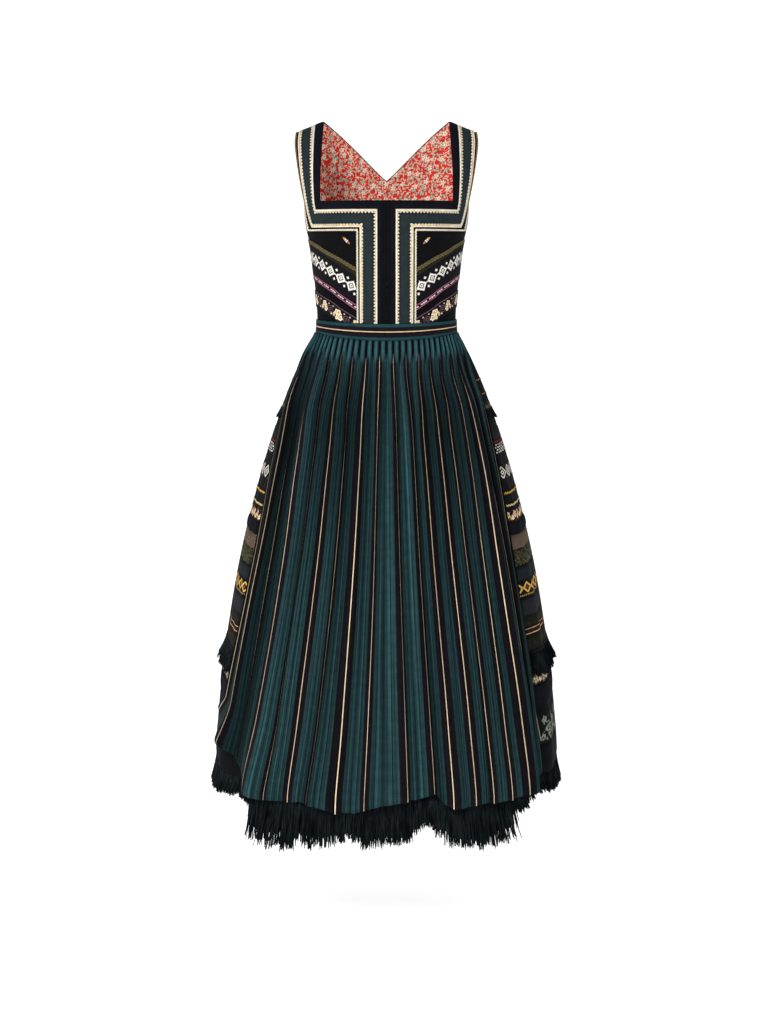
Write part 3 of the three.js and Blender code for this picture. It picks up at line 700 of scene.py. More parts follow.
# thin cord: dull gold over the strap, cream lower down
wavy, tree, shader = clothFinish("cream wavy cord", roughness=0.7)
fade = node(tree, "MapRange", uvOf(tree).outputs[0], 120, 160, 0.0, 1.0)
weave(tree, shader, over(tree, "#7C6A42", "#E9DFC8", fade.outputs[0]), pitch=0.8, depth=0.4)
trimMaterials = {"velvetEdging": velvet, "innerBraid": braid, "slateRibbon": slate, "outerBraid": braid,
                 "wavyBraid": wavy}
sewnOn = {"right": [], "left": [], "skirt": []}
for word, side in (("right", 1), ("left", -1)):
    for name, trim in neckTrims.items():
        across = np.linspace(0, 1, 7)[:, None]
        edges = trimEdges(trim["start"], trim["front"], trim["strap"])
        flat = frontPoint(*trimPath(edges, across), side)
        length = np.concatenate([[0], np.cumsum(np.linalg.norm(np.diff(flat[3], axis=0), axis=1))])
        facing = frontFacing(*trimPath(edges, np.clip(across, 0.04, 0.96)), side)
        swell = 0.0 * across
        if trim["node"] == "velvet_edging":
            swell = 0.7 * np.sin(math.pi * across) ** 0.5
        elif "Braid" in name and name != "wavyBraid":
            reach = braidLook["straight"] + (1 - braidLook["straight"]) * (
                0.5 - 0.5 * np.cos(2 * math.pi * length / braidLook["pitch"])) ** 0.8
            swell = 0.4 * np.abs(np.sin(1.5 * math.pi * across)) + 0.2 * reach
            across = across * reach if name == "innerBraid" else 1 - (1 - across) * reach
        elif name == "wavyBraid":
            swell = 0.5 * np.sin(math.pi * across)
            slim = np.where(pathPart == 0, wavyLook["onStrap"], 1)
            across = 0.5 + slim * ((across - 0.5) * wavyLook["thick"] + wavyLook["swing"] * np.sin(
                2 * math.pi * length / wavyLook["pitch"]))
        grid = frontPoint(*trimPath(edges, across), side)
        grid = grid + facing * (trimLift + swell)[..., None]
        inward = across if name != "outerBraid" else 1 - across
        uv = np.stack(np.broadcast_arrays(length[None], (inward + 0 * length) * trim["wide"]), -1)
        if side > 0:
            grid, uv = grid[::-1], uv[::-1]
        if "Braid" not in name:
            grid, uv = grid[:, plainSteps], uv[:, plainSteps]
        piece = clothMesh(f"{name}_{word}", [(grid, uv, False)], [trimMaterials[name]], trim["height"] - 0.2)
        sewnOn[word].append(finishPiece(piece, trim["slot"], f"{trim['node']}_{word}"))

# ribbed ribbon beside the closing: close crosswise ribs, and no gloss
ribbed = bandedCloth("ribbed grosgrain", [(0, "#0E0F11")], pitch=1.2, depth=0.6)
for word, side in (("right", 1), ("left", -1)):
    rows = np.linspace(5, 18, 120)[:, None]
    columns = np.linspace(0, 1, 9)[None]
    grid = frontPoint(rows, columns, side)
    grid[..., 0] -= side * 0.192 * (1 - columns)
    if side < 0:
        grid = grid[:, ::-1]
    uv = np.stack([grid[..., 0], -grid[..., 2]], -1)
    piece = clothMesh(f"placket_{word}", [(lifted(grid, trimLift), uv, False)], [ribbed], 1.6)
    sewnOn[word].append(finishPiece(piece, "ribbed_ribbon", f"placket_{word}"))

slantRibbons = {
    "oliveBraid": {"rows": (12, 13), "height": 1.2, "slot": "olive_braid", "node": "olive_braid"},
    "diamondRibbon": {"rows": (13, 14), "height": 1.0, "slot": "diamond_ribbon", "node": "diamond_ribbon"},
    "pinkRibbon": {"rows": (14, 15), "height": 1.0, "slot": "pink_ribbon", "node": "pink_ribbon"},
    "floralRibbon": {"rows": (16, 17), "height": 1.0, "slot": "floral_ribbon", "node": "floral_ribbon"},
}
# the slanting ribbons are woven: their figures float on a dull ground, one thread wide at the least
olive = bandedCloth("woven olive braid", [(0, "#26241A"), (1, "#4A452C"), (7.2, "#26241A")], [
    figure("lattice", 6.4, 4.1, [(0, 0.55, "#8E7F57")]),
    figure("dot", 6.4, 4.1, [(0, 0.8, "#2A2618")])], pitch=1.0, depth=0.6)
diamond = bandedCloth("jacquard diamond ribbon", [(0, "#141419")], [
    figure("diamond", 24, 20.5, [(1.6, 3.8, "#EFEAE0"), (6.4, 10.9, "#EFEAE0")], step=0.8),
    figure("diamond", 24, 20.5, [(0, 1.6, "#EFEAE0")], shift=12, step=0.8),
    figure("diamond", 24, 11.3, [(0, 2.6, "#EFEAE0")], shift=12, step=0.8),
    figure("diamond", 24, 29.7, [(0, 2.6, "#EFEAE0")], shift=12, step=0.8),
], pitch=1.0, depth=0.4)
pink = bandedCloth("woven pink ribbon", [(0, "#A05874"), (1.4, "#131116"), (6.6, "#A05874"), (8.0, "#131116")], [
    figure("dash", 9, 4.2, [(0, 0.9, "#EFE4E0")], steep=0.45),
    figure("dash", 18, 4.2, [(0, 1.3, "#EFE4E0")], shift=4.5)], pitch=0.9, depth=0.4)
roseTints = {"cream": "#F2E3C0", "straw": "#E3C796", "brown": "#7B5540", "mauve": "#75586A", "ground": "#17141A"}
floral = bandedCloth("woven rose ribbon", [(0, roseTints["mauve"]), (0.9, roseTints["ground"])], [
    figure("dot", 34, 13, [(2.0, 2.8, roseTints["mauve"]), (5.2, 6.1, roseTints["mauve"])], shift=17),
    figure("dot", 11.3, 5.5, [(0, 1.3, roseTints["straw"])]),
    figure("dot", 17, 20, [(0, 1.5, roseTints["cream"])], shift=5),
    figure("dot", 11.3, 11.5, [(0, 0.9, roseTints["brown"])], shift=6),
    figure("flower", 34, 9.5, [(0, 1.0, roseTints["brown"]), (1.0, 2.3, roseTints["straw"]),
           (2.3, 2.8, roseTints["brown"]), (2.8, 4.9, roseTints["cream"])], shift=1),
    figure("flower", 34, 16.5, [(0, 0.9, roseTints["brown"]), (0.9, 1.9, roseTints["straw"]),
           (1.9, 2.3, roseTints["brown"]), (2.3, 4.2, roseTints["cream"])], shift=6),
    figure("flower", 34, 17, [(0, 0.9, roseTints["brown"]), (0.9, 3.2, roseTints["straw"])], shift=-4),
], pitch=1.0, depth=0.4)
slantMaterials = {"oliveBraid": olive, "diamondRibbon": diamond, "pinkRibbon": pink, "floralRibbon": floral}
for word, side in (("right", 1), ("left", -1)):
    for name, trim in slantRibbons.items():
        rows = np.linspace(*trim["rows"], 9)[:, None]
        columns = np.linspace(7, 15, 70)[None]
        grid = frontPoint(rows, columns, side)
        uv = ribbonMap(grid)
        if side < 0:
            grid, uv = grid[:, ::-1], uv[:, ::-1]
        piece = clothMesh(f"{name}_{word}", [(lifted(grid, trimLift), uv, False)], [slantMaterials[name]],
                          trim["height"])
        sewnOn[word].append(finishPiece(piece, trim["slot"], f"{trim['node']}_{word}"))

# small satin-stitched sprigs above the slanting ribbons
sprig = {"x": 67, "z": -201, "length": 15, "width": 4.2, "turn": 45, "raise": 0.9}
thread, tree, shader = clothFinish("satin stitch embroidery", roughness=0.45, sheen=0.1)
parts = uvOf(tree)
colour = ramp(tree, parts.outputs[0], [(0, "#C77A2C"), (3.2, "#B9566E"), (5.2, "#F2EDE6"), (7.0, "#5E9CC4"),
                                       (8.6, "#F2EDE6"), (10.2, "#E0962F")], 15).outputs[0]
weave(tree, shader, colour, pitch=0.8, depth=0.5)
for word, side in (("right", 1), ("left", -1)):
    lengthwise = np.linspace(0, 1, 25)[None]
    width = np.linspace(-1, 1, 9)[:, None]
    shape = np.sin(math.pi * lengthwise) ** 0.45 * (0.6 + 0.4 * np.abs(np.cos(2.5 * math.pi * lengthwise)))
    reach = (lengthwise - 0.5) * sprig["length"]
    across = width * sprig["width"] / 2 * shape
    turn = math.radians(sprig["turn"])
    x = sprig["x"] + reach * math.cos(turn) + across * math.sin(turn)
    z = sprig["z"] + reach * math.sin(turn) - across * math.cos(turn)
    grid = bodicePoint(z, np.arcsin(x / along(bodiceSections, z, "halfWidth"))) * [side, 1, 1]
    if side < 0:
        grid = grid[:, ::-1]
        width = width + 0 * grid[..., 0]
    grid = grid + normalsOf(grid, False) * (trimLift + sprig["raise"] * (1 - width ** 2))[..., None]
    uv = np.stack(np.broadcast_arrays(lengthwise * sprig["length"], width), -1)
    if side < 0:
        uv = uv[:, ::-1]
    piece = clothMesh(f"sprig_{word}", [(grid, uv, False)], [thread], 0.4)
    sewnOn[word].append(finishPiece(piece, "bodice_cloth"))


def tube(name, path, radius, material, slotName, sides=8):
    # a round piping swept along the points
    tangent = np.gradient(path, axis=0)
    tangent /= np.linalg.norm(tangent, axis=1, keepdims=True)
    across = np.cross(tangent, [0.0, 0.0, 1.0])
    across /= np.maximum(np.linalg.norm(across, axis=1, keepdims=True), 1e-9)
    up = np.cross(across, tangent)
    turn = np.arange(sides) * 2 * math.pi / sides
    rings = path[:, None] + radius * (across[:, None] * np.cos(turn)[None, :, None]
                                      + up[:, None] * np.sin(turn)[None, :, None])
    index = np.arange(len(path) * sides).reshape(len(path), sides)
    quads = np.stack([index[:-1], np.roll(index[:-1], -1, 1), np.roll(index[1:], -1, 1), index[1:]], -1)
    faces = quads.reshape(-1, 4).tolist() + [index[0, ::-1].tolist(), index[-1].tolist()]
    length = np.concatenate([[0], np.cumsum(np.linalg.norm(np.diff(path, axis=0), axis=1))])
    uv = np.stack([np.repeat(length, sides), np.tile(np.arange(sides), len(path)) * radius * 0.78], -1)
    return finishPiece(yarnMesh(name, rings, faces, uv, material), slotName)


vEdges = [patch[0] for patch in backPatches(0.1)]
rightEdge, leftEdge = vEdges[0][:backSteps["neck"], -1], vEdges[1][:backSteps["neck"], 0]
piping = np.concatenate([rightEdge[:-1], leftEdge[::-1]])
piping = piping + [0, 0.3, 0.4]
piping = tube("backNeckPiping", piping, 1.1, blackCotton, "bodice_cloth")
print("bodice trims ready")

skirtLook = {"columns": 384, "gathers": 72, "waves": 32, "rowStep": 10.0}
ringAngles = np.linspace(0, 2 * math.pi, skirtLook["columns"], endpoint=False)[None]


def skirtDetail(angle, z):
    # small gathers under the band and softer waves below, never outside the plain folds
    top = np.clip((z + 640) / 260, 0, 1) ** 1.5
    low = np.clip((-380 - z) / 300, 0, 1)
    gathers = (0.5 - 0.5 * np.cos(skirtLook["gathers"] * angle + 0.9 * np.sin(5 * angle))) * 2.6 * top
    waves = (0.5 - 0.5 * np.cos(skirtLook["waves"] * angle + 1.4 * np.sin(3 * angle + z / 160))) * 1.8 * low
    return -(gathers + waves)


def ringGrid(top, bottom, rows, lift):
    z = np.linspace(top, bottom, rows)[:, None] + 0 * ringAngles
    return skirtPoint(ringAngles, z, skirtFold(ringAngles, z) + skirtDetail(ringAngles, z) + lift)


# black dress cotton, a little coarser than the bodice's
skirtCloth = plainCloth("black dress cotton", "#0D0E11", pitch=1.3, depth=0.3, sheen=0.03)
zTop = atWaist(waistLine, ringAngles) - 0.5
zNext = atWaist(bandBottom, ringAngles) - 1
share = np.linspace(0, 1, 84)[:, None]
z = np.concatenate([zTop, zTop + (zNext - zTop) * 0.5, zNext + (hem - zNext) * share], 0)
grid = skirtPoint(ringAngles, z, skirtFold(ringAngles, z) + skirtDetail(ringAngles, z))
skirt = clothMesh("skirtCloth", [(grid, flatMap(grid, True), True)], [skirtCloth], cloth)
finishPiece(skirt, "skirt_cloth", "skirt")

# woven ribbons from the waist to the hem: name, top, bottom, ground stops and figures
skirtRibbons = [
    ("dottedCordUpper", -441.5, -445, [(0, "#1B1614")],
     [figure("dot", 6, 1.7, [(0, 1.3, "#C9803C")])]),
    ("dottedCordLower", -465.5, -469, [(0, "#1B1614")],
     [figure("dot", 6, 1.7, [(0, 1.3, "#C9803C")])]),
    ("oliveTape", -482, -499, [(0, "#2B291B"), (3, "#3D3923"), (14, "#29271A")],
     [figure("lattice", 6, 8.5, [(0, 0.7, "#7C7246")])]),
    ("chequeredTape", -499.5, -512, [(0, "#17171A")],
     [figure("dash", 9, 6, [(0, 2.2, "#E8DDC2")]),
      figure("dash", 9, 6, [(0, 2.0, "#B98F3E")], shift=4.5)]),
    ("greyTape", -526, -544, [(0, "#15161A"), (9, "#1B1C20")], []),
    ("darkRedLine", -546.5, -550, [(0, "#6A1C20")], []),
    ("dashedTape", -551, -570, [(0, "#101114")],
     [figure("dash", 13, 2.6 + 4.4 * k, [(0, 1.2, "#E6E2D8")], shift=6.5 * (k % 2), steep=0.36) for k in range(4)]),
    ("diamondTape", -588, -613, [(0, "#101114")],
     [figure("diamond", 36, 12.5, [(2.2, 4.6, "#EAE5DA"), (8.2, 11.4, "#EAE5DA")], steep=0.72, shift=8),
      figure("dot", 36, 2, [(0, 1.2, "#C08A5A")], shift=26),
      figure("dot", 36, 23, [(0, 1.2, "#C08A5A")], shift=26)]),
    ("pointedYellowLine", -632, -639, [(0, "#121316")],
     [figure("zigzag", 8, 3.2, [(0, 1.15, "#DDAE45")], steep=0.55)]),
    ("pointedCreamLine", -653, -660, [(0, "#121316")],
     [figure("zigzag", 8, 3.2, [(0, 1.15, "#E8CD93")], steep=0.55)]),
    ("roseTape", -664, -685, [(0, "#15121A")],
     [figure("speck", 2.6, 0, [(0, 0.12, "#6A4433")]),
      figure("flower", 23, 8, [(0, 1.1, "#7E4A2E"), (1.1, 2.7, "#E9A96C"), (2.7, 3.2, "#6B3A28"),
             (3.2, 5.3, "#F0DDB8")]),
      figure("flower", 23, 13.5, [(0, 1.0, "#7E4A2E"), (1.0, 4.0, "#F0DDB8")], shift=9),
      figure("flower", 23, 14.5, [(0, 0.9, "#7E4A2E"), (0.9, 3.1, "#E9A96C")], shift=-8)]),
    ("herringboneTape", -706, -730, [(0, "#1F1814"), (23, "#2E251E")],
     [figure("barb", 5.2, 11.5, [(0, 0.95, "#8E7A65")], steep=1.5)]),
    ("speckledTape", -731, -758, [(0, "#1B1C12"), (2, "#26271A"), (25, "#1B1C12")],
     [figure("speck", 1.9, 0, [(0, 0.22, "#4C4C30"), (0.22, 0.3, "#6C6A48")])]),
    ("slateTape", -761, -784, [(0, "#141A1D"), (3, "#192024"), (20, "#141A1D")], []),
    ("crossTape", -785, -813, [(0, "#131116")],
     [figure("dot", 6.5, 24.5, [(0, 1.3, "#E0B64A")]),
      figure("lattice", 30, 12, [(0, 1.1, "#D9AE42")], steep=0.6, shift=15),
      figure("diamond", 30, 12, [(0, 2.6, "#A8324A"), (7.2, 9.4, "#EBCB5E")], steep=0.8),
      figure("diamond", 30, 12, [(0, 2.4, "#C97E92")], steep=0.8, shift=15)]),
    ("charcoalTape", -816, -844, [(0, "#17171A"), (2, "#1C1D20"), (26, "#17171A")],
     [figure("barb", 6, 14, [(0, 0.7, "#303238")], steep=2.2)]),
    ("darkOliveTape", -845, -862, [(0, "#16170F")],
     [figure("speck", 2.2, 0, [(0, 0.2, "#23241A")])]),
    ("creamLines", -863, -878, [(0, "#131316"), (2, "#D9A67A"), (3.5, "#131316"), (10.5, "#D9A67A"), (12, "#131316")],
     [figure("dot", 5, 7.1, [(0, 0.8, "#3E2A20")])]),
    ("deepOliveTape", -880, -903, [(0, "#17170E")],
     [figure("speck", 2.2, 0, [(0, 0.2, "#24241A")])]),
    ("brocadeTape", -930, -965, [(0, "#131114"), (12, "#221B16"), (33, "#131114")],
     [figure("lattice", 26, 24, [(0, 1.5, "#8C7C60")], steep=0.5, shift=13),
      figure("flower", 26, 23, [(0, 1.6, "#F2E8CE"), (3.0, 5.8, "#CDBB94"), (7.2, 8.2, "#8C7C60")]),
      figure("flower", 26, 26, [(0, 3.6, "#E9DCBE")], shift=13),
      figure("speck", 1.7, 0, [(0, 0.2, "#171318")])]),
    ("laceTape", -1011, -1067, [(0, "#111214")],
     [figure("flower", 44, 34, [(1.5, 4.0, "#B4BCA8"), (6.0, 11.5, "#98A592")]),
      figure("flower", 44, 17, [(0, 1.6, "#C4CAB8"), (3.0, 7.0, "#8F9C8A")], shift=15),
      figure("flower", 44, 46, [(0, 5.5, "#A5AE9B")], shift=22),
      figure("zigzag", 44, 30, [(0, 1.0, "#6F7A70")], steep=0.9),
      figure("flower", 15, 50, [(0, 2.6, "#8F9C8A")], shift=5),
      figure("speck", 1.9, 0, [(0, 0.42, "#111214")])]),
    ("blackHeading", -1069, -1116.5, [(0, "#0C0D10")], []),
]
for name, top, bottom, ground, figures in skirtRibbons:
    material = bandedCloth(f"woven ribbon {name}", ground, figures, pitch=1.1, depth=0.3)
    grid = ringGrid(top, bottom, max(3, int((top - bottom) / skirtLook["rowStep"]) + 2), cloth + 0.12)
    piece = clothMesh(name, [(grid, flatMap(grid, True), True)], [material], 0.5)
    sewnOn["skirt"].append(finishPiece(piece, "skirt_cloth"))

for name, top, bottom, nodeName in (("upperVelvetBand", -686, -703, "upper_velvet_band"),
                                    ("lowerVelvetBand", -965, -996, "lower_velvet_band")):
    grid = ringGrid(top, bottom, 9, trimLift)
    swell = np.sin(np.linspace(0, math.pi, 9))[:, None] ** 0.6
    grid = lifted(grid, 1.0 * swell[..., None], True)
    piece = clothMesh(name, [(grid, flatMap(grid, True), True)], [velvet], 1.2)
    sewnOn["skirt"].append(finishPiece(piece, "black_velvet", nodeName))
print("skirt ready")

apronLook = {"columns": 364, "rows": 72, "pleats": 34, "folds": 7, "width": 741, "stripe": 43,
             "teal": "#223A3D", "paleTeal": "#2B4D52", "aubergine": "#141017", "cream": "#F0DAB2"}
apronEdge = {"z": [-361, -418, -480, -570, -745, -990, -1133],
             "left": [86, 74, 71, 65, 61, 65, 72], "right": [86, 68, 65, 61, 57, 58, 60]}
# the last column of the lift table is not a lift but how strongly painted shade darkens the creases' valleys
apronLift = {"z": [-361, -392, -418, -470, -570, -770, -1133], "clear": [1.8, 3.2, 4.2, 4.8, 5, 5, 5],
             "pleat": [2.6, 3.6, 4.2, 2.4, 0.8, 0, 0], "fold": [0, 0, 1, 4, 8, 12, 17],
             "crease": [0, 0.6, 4, 7.5, 8.5, 8.5, 8], "valleyShade": [0, 0, 0.42, 0.7, 0.66, 0.42, 0.24]}
apronRise = {"from": -985, "edge": 24, "corner": 46, "hem": -1137}
# long hollows that run down from the gathers, sunk into the cloth and also darkened with painted shade: place across,
# width, depth
apronHollows = [(-0.77, 0.05, 1.3), (0.84, 0.05, 1.1), (-0.28, 0.05, 1.0), (0.22, 0.045, 0.9), (-0.06, 0.028, 0.55),
                (0.5, 0.035, 0.6), (-0.52, 0.035, 0.6), (0.36, 0.02, 0.4), (-0.15, 0.02, 0.4), (0.68, 0.03, 0.6),
                (0.07, 0.02, 0.35)]
# how far the hem hangs above or below its even line
apronHem = {"at": [-1, -0.76, -0.64, -0.55, -0.42, -0.32, -0.25, -0.18, -0.1, -0.05, -0.01, 0.04, 0.11, 0.16, 0.2, 0.24,
                   0.28, 0.37, 0.53, 0.66, 0.74, 0.85, 0.9, 1],
            "rise": [54, 38, 0, -4, -4, 7, 2, -13, -11, 2, 11, 17, 13, 18, 22, 6, -2, -2, -4, -11, -13, -14, -4, 20]}
# painted shade towards the apron's sides: how light the colour is drawn at each place across, and the share of it drawn
# up at the band
apronShade = {"at": [-1, -0.93, -0.86, -0.76, -0.71, -0.67, 0.74, 0.79, 0.86, 0.93, 1],
              "light": [0.66, 0.62, 0.42, 0.32, 0.38, 1, 1, 0.55, 0.42, 0.5, 0.6], "atBand": 0.55}

u = np.linspace(-1, 1, apronLook["columns"] + 1)[None]
down = np.linspace(0, 1, apronLook["rows"] + 1)[:, None] ** 1.12
zFlat = -365 + (apronRise["hem"] + 365) * down + 0 * u
edge = np.where(u > 0, along(apronEdge, zFlat, "right"), along(apronEdge, zFlat, "left"))
grows = np.clip((-405 - zFlat) / 110, 0, 1)
# the cloth bunches at each hollow, so its stripes stand closer there
bunched = sum(0.62 * (u - place) * np.exp(-((u - place) / (0.012 + 1.5 * width)) ** 2)
              for place, width, depth in apronHollows) * grows
seen = u - bunched
angle = np.radians(seen * edge)
topEdge = atWaist(bandBottom, angle) - 0.5
z = topEdge + (apronRise["hem"] - topEdge) * down
rise = np.interp(seen, apronHem["at"], apronHem["rise"])
raised = apronRise["edge"] * np.abs(u) ** 3 + apronRise["corner"] * np.abs(u) ** 9 + rise
z = np.where(z < apronRise["from"], z + raised * ((apronRise["from"] - z) / (apronRise["from"] - apronRise["hem"])), z)
pleat = 0.5 - 0.5 * np.cos(math.pi * apronLook["pleats"] * (u + 1))
fold = 0.5 - 0.5 * np.cos(apronLook["folds"] * math.pi * (u + 1) + 0.6 * np.sin(3 * u))
# long uneven creases that run down from the gathers
crease = (0.5 - 0.5 * np.cos(17 * math.pi * u + 1.7 * np.sin(4.3 * u + 0.6) + 0.5 * np.sin(zFlat / 130)))
crease = crease ** 1.6 * (0.62 + 0.38 * np.sin(7.7 * u + 1.1))
lift = (along(apronLift, zFlat, "clear") + along(apronLift, zFlat, "pleat") * pleat
        + along(apronLift, zFlat, "fold") * fold + along(apronLift, zFlat, "crease") * crease)
hollow = sum(depth * np.exp(-((u - place + 0.014 * np.sin(zFlat / 130 + 9 * place)) / width) ** 2)
             for place, width, depth in apronHollows) * grows
lift = np.maximum(lift - 8 * hollow, along(apronLift, zFlat, "clear") - 1.5)
# painted shade: the hollows, the creases' valleys and the apron's sides are drawn darker than the crests of its folds,
# as shade in the drape
sideLight = np.interp(u, apronShade["at"], apronShade["light"])
aside = 1 - (1 - sideLight) * np.maximum(grows, apronShade["atBand"])
inside = np.where(np.abs(u) < 0.72, np.minimum(hollow, 1), 0)
valleyShade = along(apronLift, zFlat, "valleyShade") * (1 - np.clip(1.5 * crease, 0, 1))
shade = (1 - 0.6 * inside) * aside * 1.06 * (1 - valleyShade)
grid = skirtPoint(angle, z, skirtFold(angle, z) + lift)
drop = np.concatenate([np.zeros((1, u.size)), np.cumsum(np.linalg.norm(np.diff(grid, axis=0), axis=2), axis=0)])
uv = np.stack([np.broadcast_to((u + 1) / 2 * apronLook["width"], drop.shape), drop], -1)

# yarn-dyed cotton: soft sheen along the ribs, stripes woven in
apronFinish, tree, shader = clothFinish("yarn-dyed striped cotton", roughness=0.85, sheen=0.04, sheenTint="#5F8588")
parts = uvOf(tree)
half = apronLook["stripe"] / 2
fromLine = node(tree, "Math", node(tree, "Math", parts.outputs[0], 5, operation="SUBTRACT"), half, operation="PINGPONG")
stripes = ramp(tree, fromLine, [(0, apronLook["cream"]), (0.66, "#060507"), (2.0, apronLook["aubergine"]),
               (9.2, "#0D1113"), (9.8, apronLook["teal"]), (15.0, "#0F1D20"), (15.8, apronLook["paleTeal"]),
               (18.2, apronLook["teal"]), (20.4, "#142B2E")], half)
# on the gathers only the teal of the raised folds shows, with a painted highlight along their tops and painted shade,
# near black, in the grooves between
pleatHalf = apronLook["width"] / apronLook["pleats"] / 2
fromRidge = node(tree, "Math", node(tree, "Math", parts.outputs[0], pleatHalf, operation="SUBTRACT"), pleatHalf,
                 operation="PINGPONG")
ridgeHighlightGrooveShade = ramp(tree, fromRidge, [(0, "#325A5F"), (2.2, "#25434A"), (5.5, "#070609")], pleatHalf)
uneven = node(tree, "TexNoise", node(tree, "CombineXYZ", node(tree, "Math", parts.outputs[0], 0.045,
              operation="MULTIPLY"), 0.0, 0.0))
uneven.inputs["Scale"].default_value = 1
reachDown = node(tree, "Math", uneven.outputs["Fac"], 62, 6.0, operation="MULTIPLY_ADD")
gathered = node(tree, "MapRange", node(tree, "Math", reachDown, parts.outputs[1], operation="SUBTRACT"),
                -7.0, 9.0, 0.0, 1.0)
colour = over(tree, stripes.outputs[0], ridgeHighlightGrooveShade.outputs[0], gathered.outputs[0])
streaks = node(tree, "TexNoise", node(tree, "CombineXYZ", parts.outputs[0],
               node(tree, "Math", parts.outputs[1], 0.006, operation="MULTIPLY"), 0.0))
streaks.inputs["Scale"].default_value = 0.5
streaks.inputs["Detail"].default_value = 3
streak = node(tree, "MapRange", streaks.outputs["Fac"], 0.36, 0.68, 0.68, 1.42)
# the colour is multiplied by the streaks and by the painted shade kept in the cloth's second map
shaded = node(tree, "SeparateXYZ", node(tree, "UVMap", uv_map="hollow"))
lit = node(tree, "VectorMath", colour, node(tree, "Math", streak, shaded, operation="MULTIPLY"), operation="MULTIPLY")
weave(tree, shader, lit.outputs[0], pitch=1.3, depth=0.3)
apron = clothMesh("apronCloth", [(grid, uv, False)], [apronFinish], cloth, shade=shade)
finishPiece(apron, "apron_cloth", "apron")

rings = np.linspace(0, 1, 8)[:, None]
low = atWaist(waistLine, ringAngles)
z = np.concatenate([atWaist(bandTop, ringAngles) + (low - atWaist(bandTop, ringAngles)) * rings,
                    low + (atWaist(bandBottom, ringAngles) - low) * rings[1:]], 0)
grid = skirtPoint(ringAngles, z, 1.9 + 0 * z)
uv = flatMap(grid, True)
uv[..., 1] = np.linspace(0, 28, len(uv))[:, None]
# the apron's own cotton, with one stripe round the middle
bandCloth = bandedCloth("striped waistband cotton", [(0, "#1E3F43"), (5.6, "#17131A"), (12.2, "#060507"),
                        (13.1, "#E3C598"), (14.9, "#060507"), (15.8, "#17131A"), (23.2, "#1E3F43")],
                        pitch=1.3, depth=0.3, sheen=0.04, sheenTint="#5F8588", roughness=0.85)
waistband = clothMesh("waistbandCloth", [(grid, uv, True)], [bandCloth], 1.4)
finishPiece(waistband, "apron_cloth", "waistband")
print("apron ready")

# loose cotton yarn: near black and dull, each lock a little lighter or darker than the next
yarn, tree, shader = clothFinish("dull cotton yarn", roughness=0.95, sheen=0.08, sheenTint="#30383A")
parts = uvOf(tree)
tones = node(tree, "TexNoise", node(tree, "CombineXYZ", node(tree, "Math", parts.outputs[0], 0.3, operation="MULTIPLY"),
                                    node(tree, "Math", parts.outputs[1], 0.02, operation="MULTIPLY"), 0.0))
tones.inputs["Scale"].default_value = 1
tones.inputs["Detail"].default_value = 2
tone = node(tree, "MapRange", tones.outputs["Fac"], 0.4, 0.66, 0.0, 1.0)
weave(tree, shader, over(tree, "#080A0C", "#1F272A", tone.outputs[0]), pitch=1.0, depth=0.2)
random = np.random.default_rng(7)
strandShape = {"segments": 4, "sides": 3, "taper": 0.35}
lockRows = {
    "upperTassels": {"top": -492, "header": 4, "length": 18, "strands": 1700, "lift": 1.9, "flare": 5, "thick": 0.8,
                     "from": 67, "to": 286, "locks": 60, "pull": 0.5, "stray": 0.008, "node": "upper_tassels"},
    "lowerTassels": {"top": -904, "header": 6, "length": 44, "strands": 2700, "lift": 1.7, "flare": 14, "thick": 0.95,
                     "from": 60, "to": 294, "locks": 70, "pull": 0.4, "stray": 0.009, "node": "lower_tassels"},
    "hemFringe": {"top": -1115.5, "header": 9, "length": 86, "strands": 4300, "lift": -1, "flare": 13, "thick": 1.15,
                  "from": 0, "to": 360, "locks": 190, "pull": 0.5, "stray": 0.011, "node": "hem_fringe"},
}


fringeDrop = {
    "at": [-180, -130, -90, -75, -65, -56, -49, -45.2, -44, -37, -32, -28, -23.5, -19, -15.5, -12, -8.4, -5.2, -2.3,
           2.1, 5, 8.2, 11.6, 15.2, 19, 23, 32, 37, 39.8, 41, 48, 55, 64, 75, 90, 130, 180],
    "length": [78, 76, 63, 48, 42, 35, 34, 36, 98, 104, 104, 102, 92, 97, 101, 91, 80, 92, 93, 88,
               84, 58, 64, 86, 98, 104, 104, 104, 101, 50, 40, 30, 36, 45, 63, 76, 78],
}


def hemLength(angle):
    # the fringe hangs longest in front, with two notches between its folds, and shorter at the sides
    turned = (np.degrees(angle) + 180) % 360 - 180
    return np.interp(turned, fringeDrop["at"], fringeDrop["length"]) / 86


def surfaceAt(angle, z, lift):
    zOn = np.maximum(z, hem)
    p = skirtPoint(angle, zOn, skirtFold(angle, zOn) + skirtDetail(angle, zOn) + lift)
    p[..., 2] = z
    return p


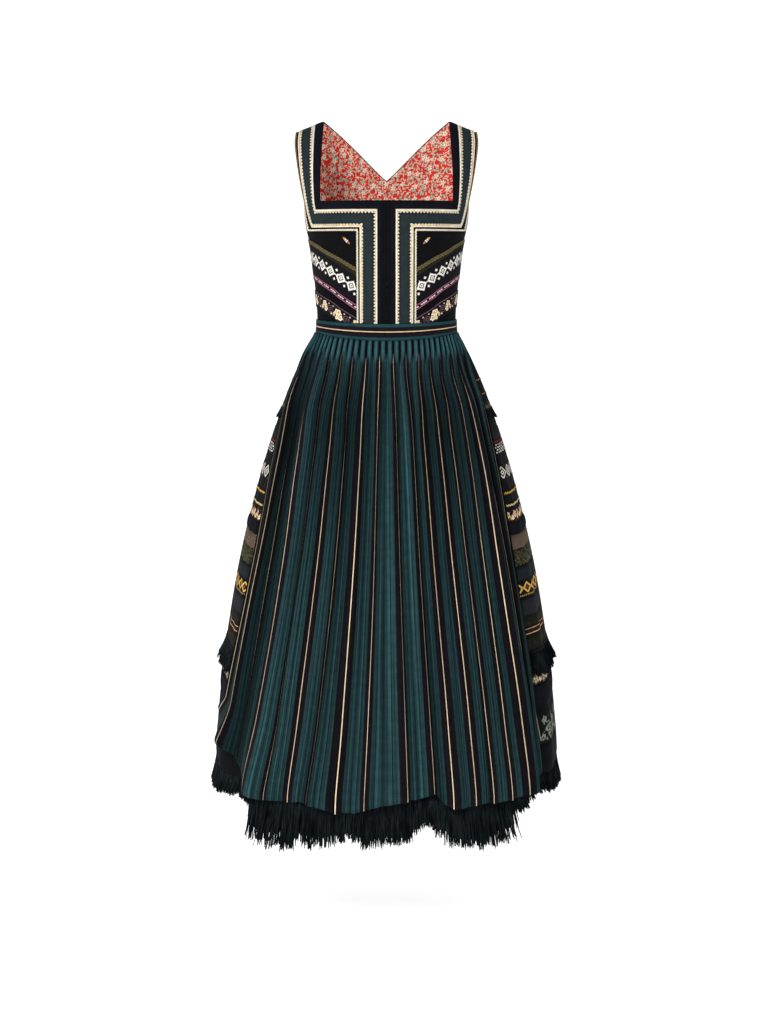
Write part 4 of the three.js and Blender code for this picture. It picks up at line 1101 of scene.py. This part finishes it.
for name, row in lockRows.items():
    count, segments, sides = row["strands"], strandShape["segments"], strandShape["sides"]
    start, end = math.radians(row["from"]), math.radians(row["to"])
    closed = row["to"] - row["from"] >= 360
    # strands stand evenly along the hem's own length, and hang in loose bunches
    fineAngles = np.linspace(start, end, 4000)
    walk = surfaceAt(fineAngles, np.full(4000, float(row["top"])), 0.0)
    walked = np.concatenate([[0], np.cumsum(np.linalg.norm(np.diff(walk, axis=0), axis=1))])
    share = (np.arange(count) + random.uniform(0.0, 1.0, count)) / count
    place = np.interp(share * walked[-1], walked, fineAngles)
    lockIndex = np.floor(share * row["locks"]).astype(int)
    lock = np.interp((lockIndex + 0.5) / row["locks"] * walked[-1], walked, fineAngles)
    lockLength = random.uniform(0.86, 1.0, row["locks"] + 1)[lockIndex][:, None]
    lockFlare = random.uniform(0.35, 1.0, row["locks"] + 1)[lockIndex][:, None]
    t = np.linspace(0, 1, segments + 1)[None]
    gather = row["pull"] * t ** 1.5
    angle = place[:, None] + (lock - place)[:, None] * gather + random.normal(0, row["stray"], (count, 1)) * t
    lengths = row["length"] * lockLength * random.uniform(0.86, 1.0, (count, 1))
    if name == "hemFringe":
        lengths = lengths * hemLength(place)[:, None]
    z = row["top"] - row["header"] * 0.6 - lengths * t
    flare = row["flare"] * t ** 1.4 * lockFlare * random.uniform(0.1, 1.0, (count, 1))
    if name == "hemFringe":
        turned = np.abs((np.degrees(place) + 180) % 360 - 180)[:, None]
        spread = np.exp(-((turned - 35) / 10) ** 2)  # the front corners splay out
        flare = flare * (1 + 1.1 * spread) + 4 * t * spread
    path = surfaceAt(angle, z, row["lift"] + 0.8 + flare)
    turn = np.arange(sides) * 2 * math.pi / sides
    around = np.stack([np.cos(angle), np.sin(angle), 0 * angle], -1)[:, :, None]
    outward = np.stack([np.sin(angle), -np.cos(angle), 0 * angle], -1)[:, :, None]
    taper = (row["thick"] * (1 - strandShape["taper"] * t ** 3))[..., None, None]
    points = path[:, :, None] + (around * np.cos(turn)[None, None, :, None]
                                 + outward * np.sin(turn)[None, None, :, None]) * taper
    index = np.arange(points[..., 0].size).reshape(count, segments + 1, sides)
    a, b = index[:, :-1], index[:, 1:]
    quads = np.stack([a, np.roll(a, -1, 2), np.roll(b, -1, 2), b], -1).reshape(-1, 4)
    caps = np.concatenate([index[:, 0, ::-1], index[:, -1]], 0)
    alongHem = np.broadcast_to((share * walked[-1])[:, None, None], points.shape[:3]).reshape(-1)
    uv = np.stack([alongHem, points[..., 2].reshape(-1)], -1)
    strands = yarnMesh(name, points, quads.tolist() + caps.tolist(), uv, yarn)
    sewnOn["skirt"].append(finishPiece(strands, "black_yarn", row["node"]))
    if name == "hemFringe":
        # the dense heart of the fringe, so that no light comes through
        ends = np.linspace(0, 2 * math.pi, 720, endpoint=False)[None]
        drop = row["length"] * hemLength(ends) * (0.7 + 0.1 * np.sin(150 * ends) ** 2)
        z = row["top"] - 5 - drop * np.array([0, 0.3, 0.6, 0.85, 1])[:, None]
        core = surfaceAt(ends, z, row["lift"] + np.array([0, 0.6, 1.6, 3, 4])[:, None])
        heart = clothMesh("hemFringeHeart", [(core, flatMap(core, True), True)], [yarn], 1.5)
        sewnOn["skirt"].append(finishPiece(heart, "black_yarn"))
    angles = np.linspace(start, end, 400)[None]
    # the hem's own tape starts behind the skirt's edge
    z = np.linspace(row["top"] + 3 * closed, row["top"] - row["header"], 4)[:, None] + 0 * angles
    header = surfaceAt(angles, z, row["lift"] - 0.5 * closed)
    if closed:
        header = header[:, :-1]
    head = clothMesh(f"{name}Tape", [(header, flatMap(header, closed), closed)], [yarn], 1.2)
    sewnOn["skirt"].append(finishPiece(head, "black_yarn"))
print("fringes ready")
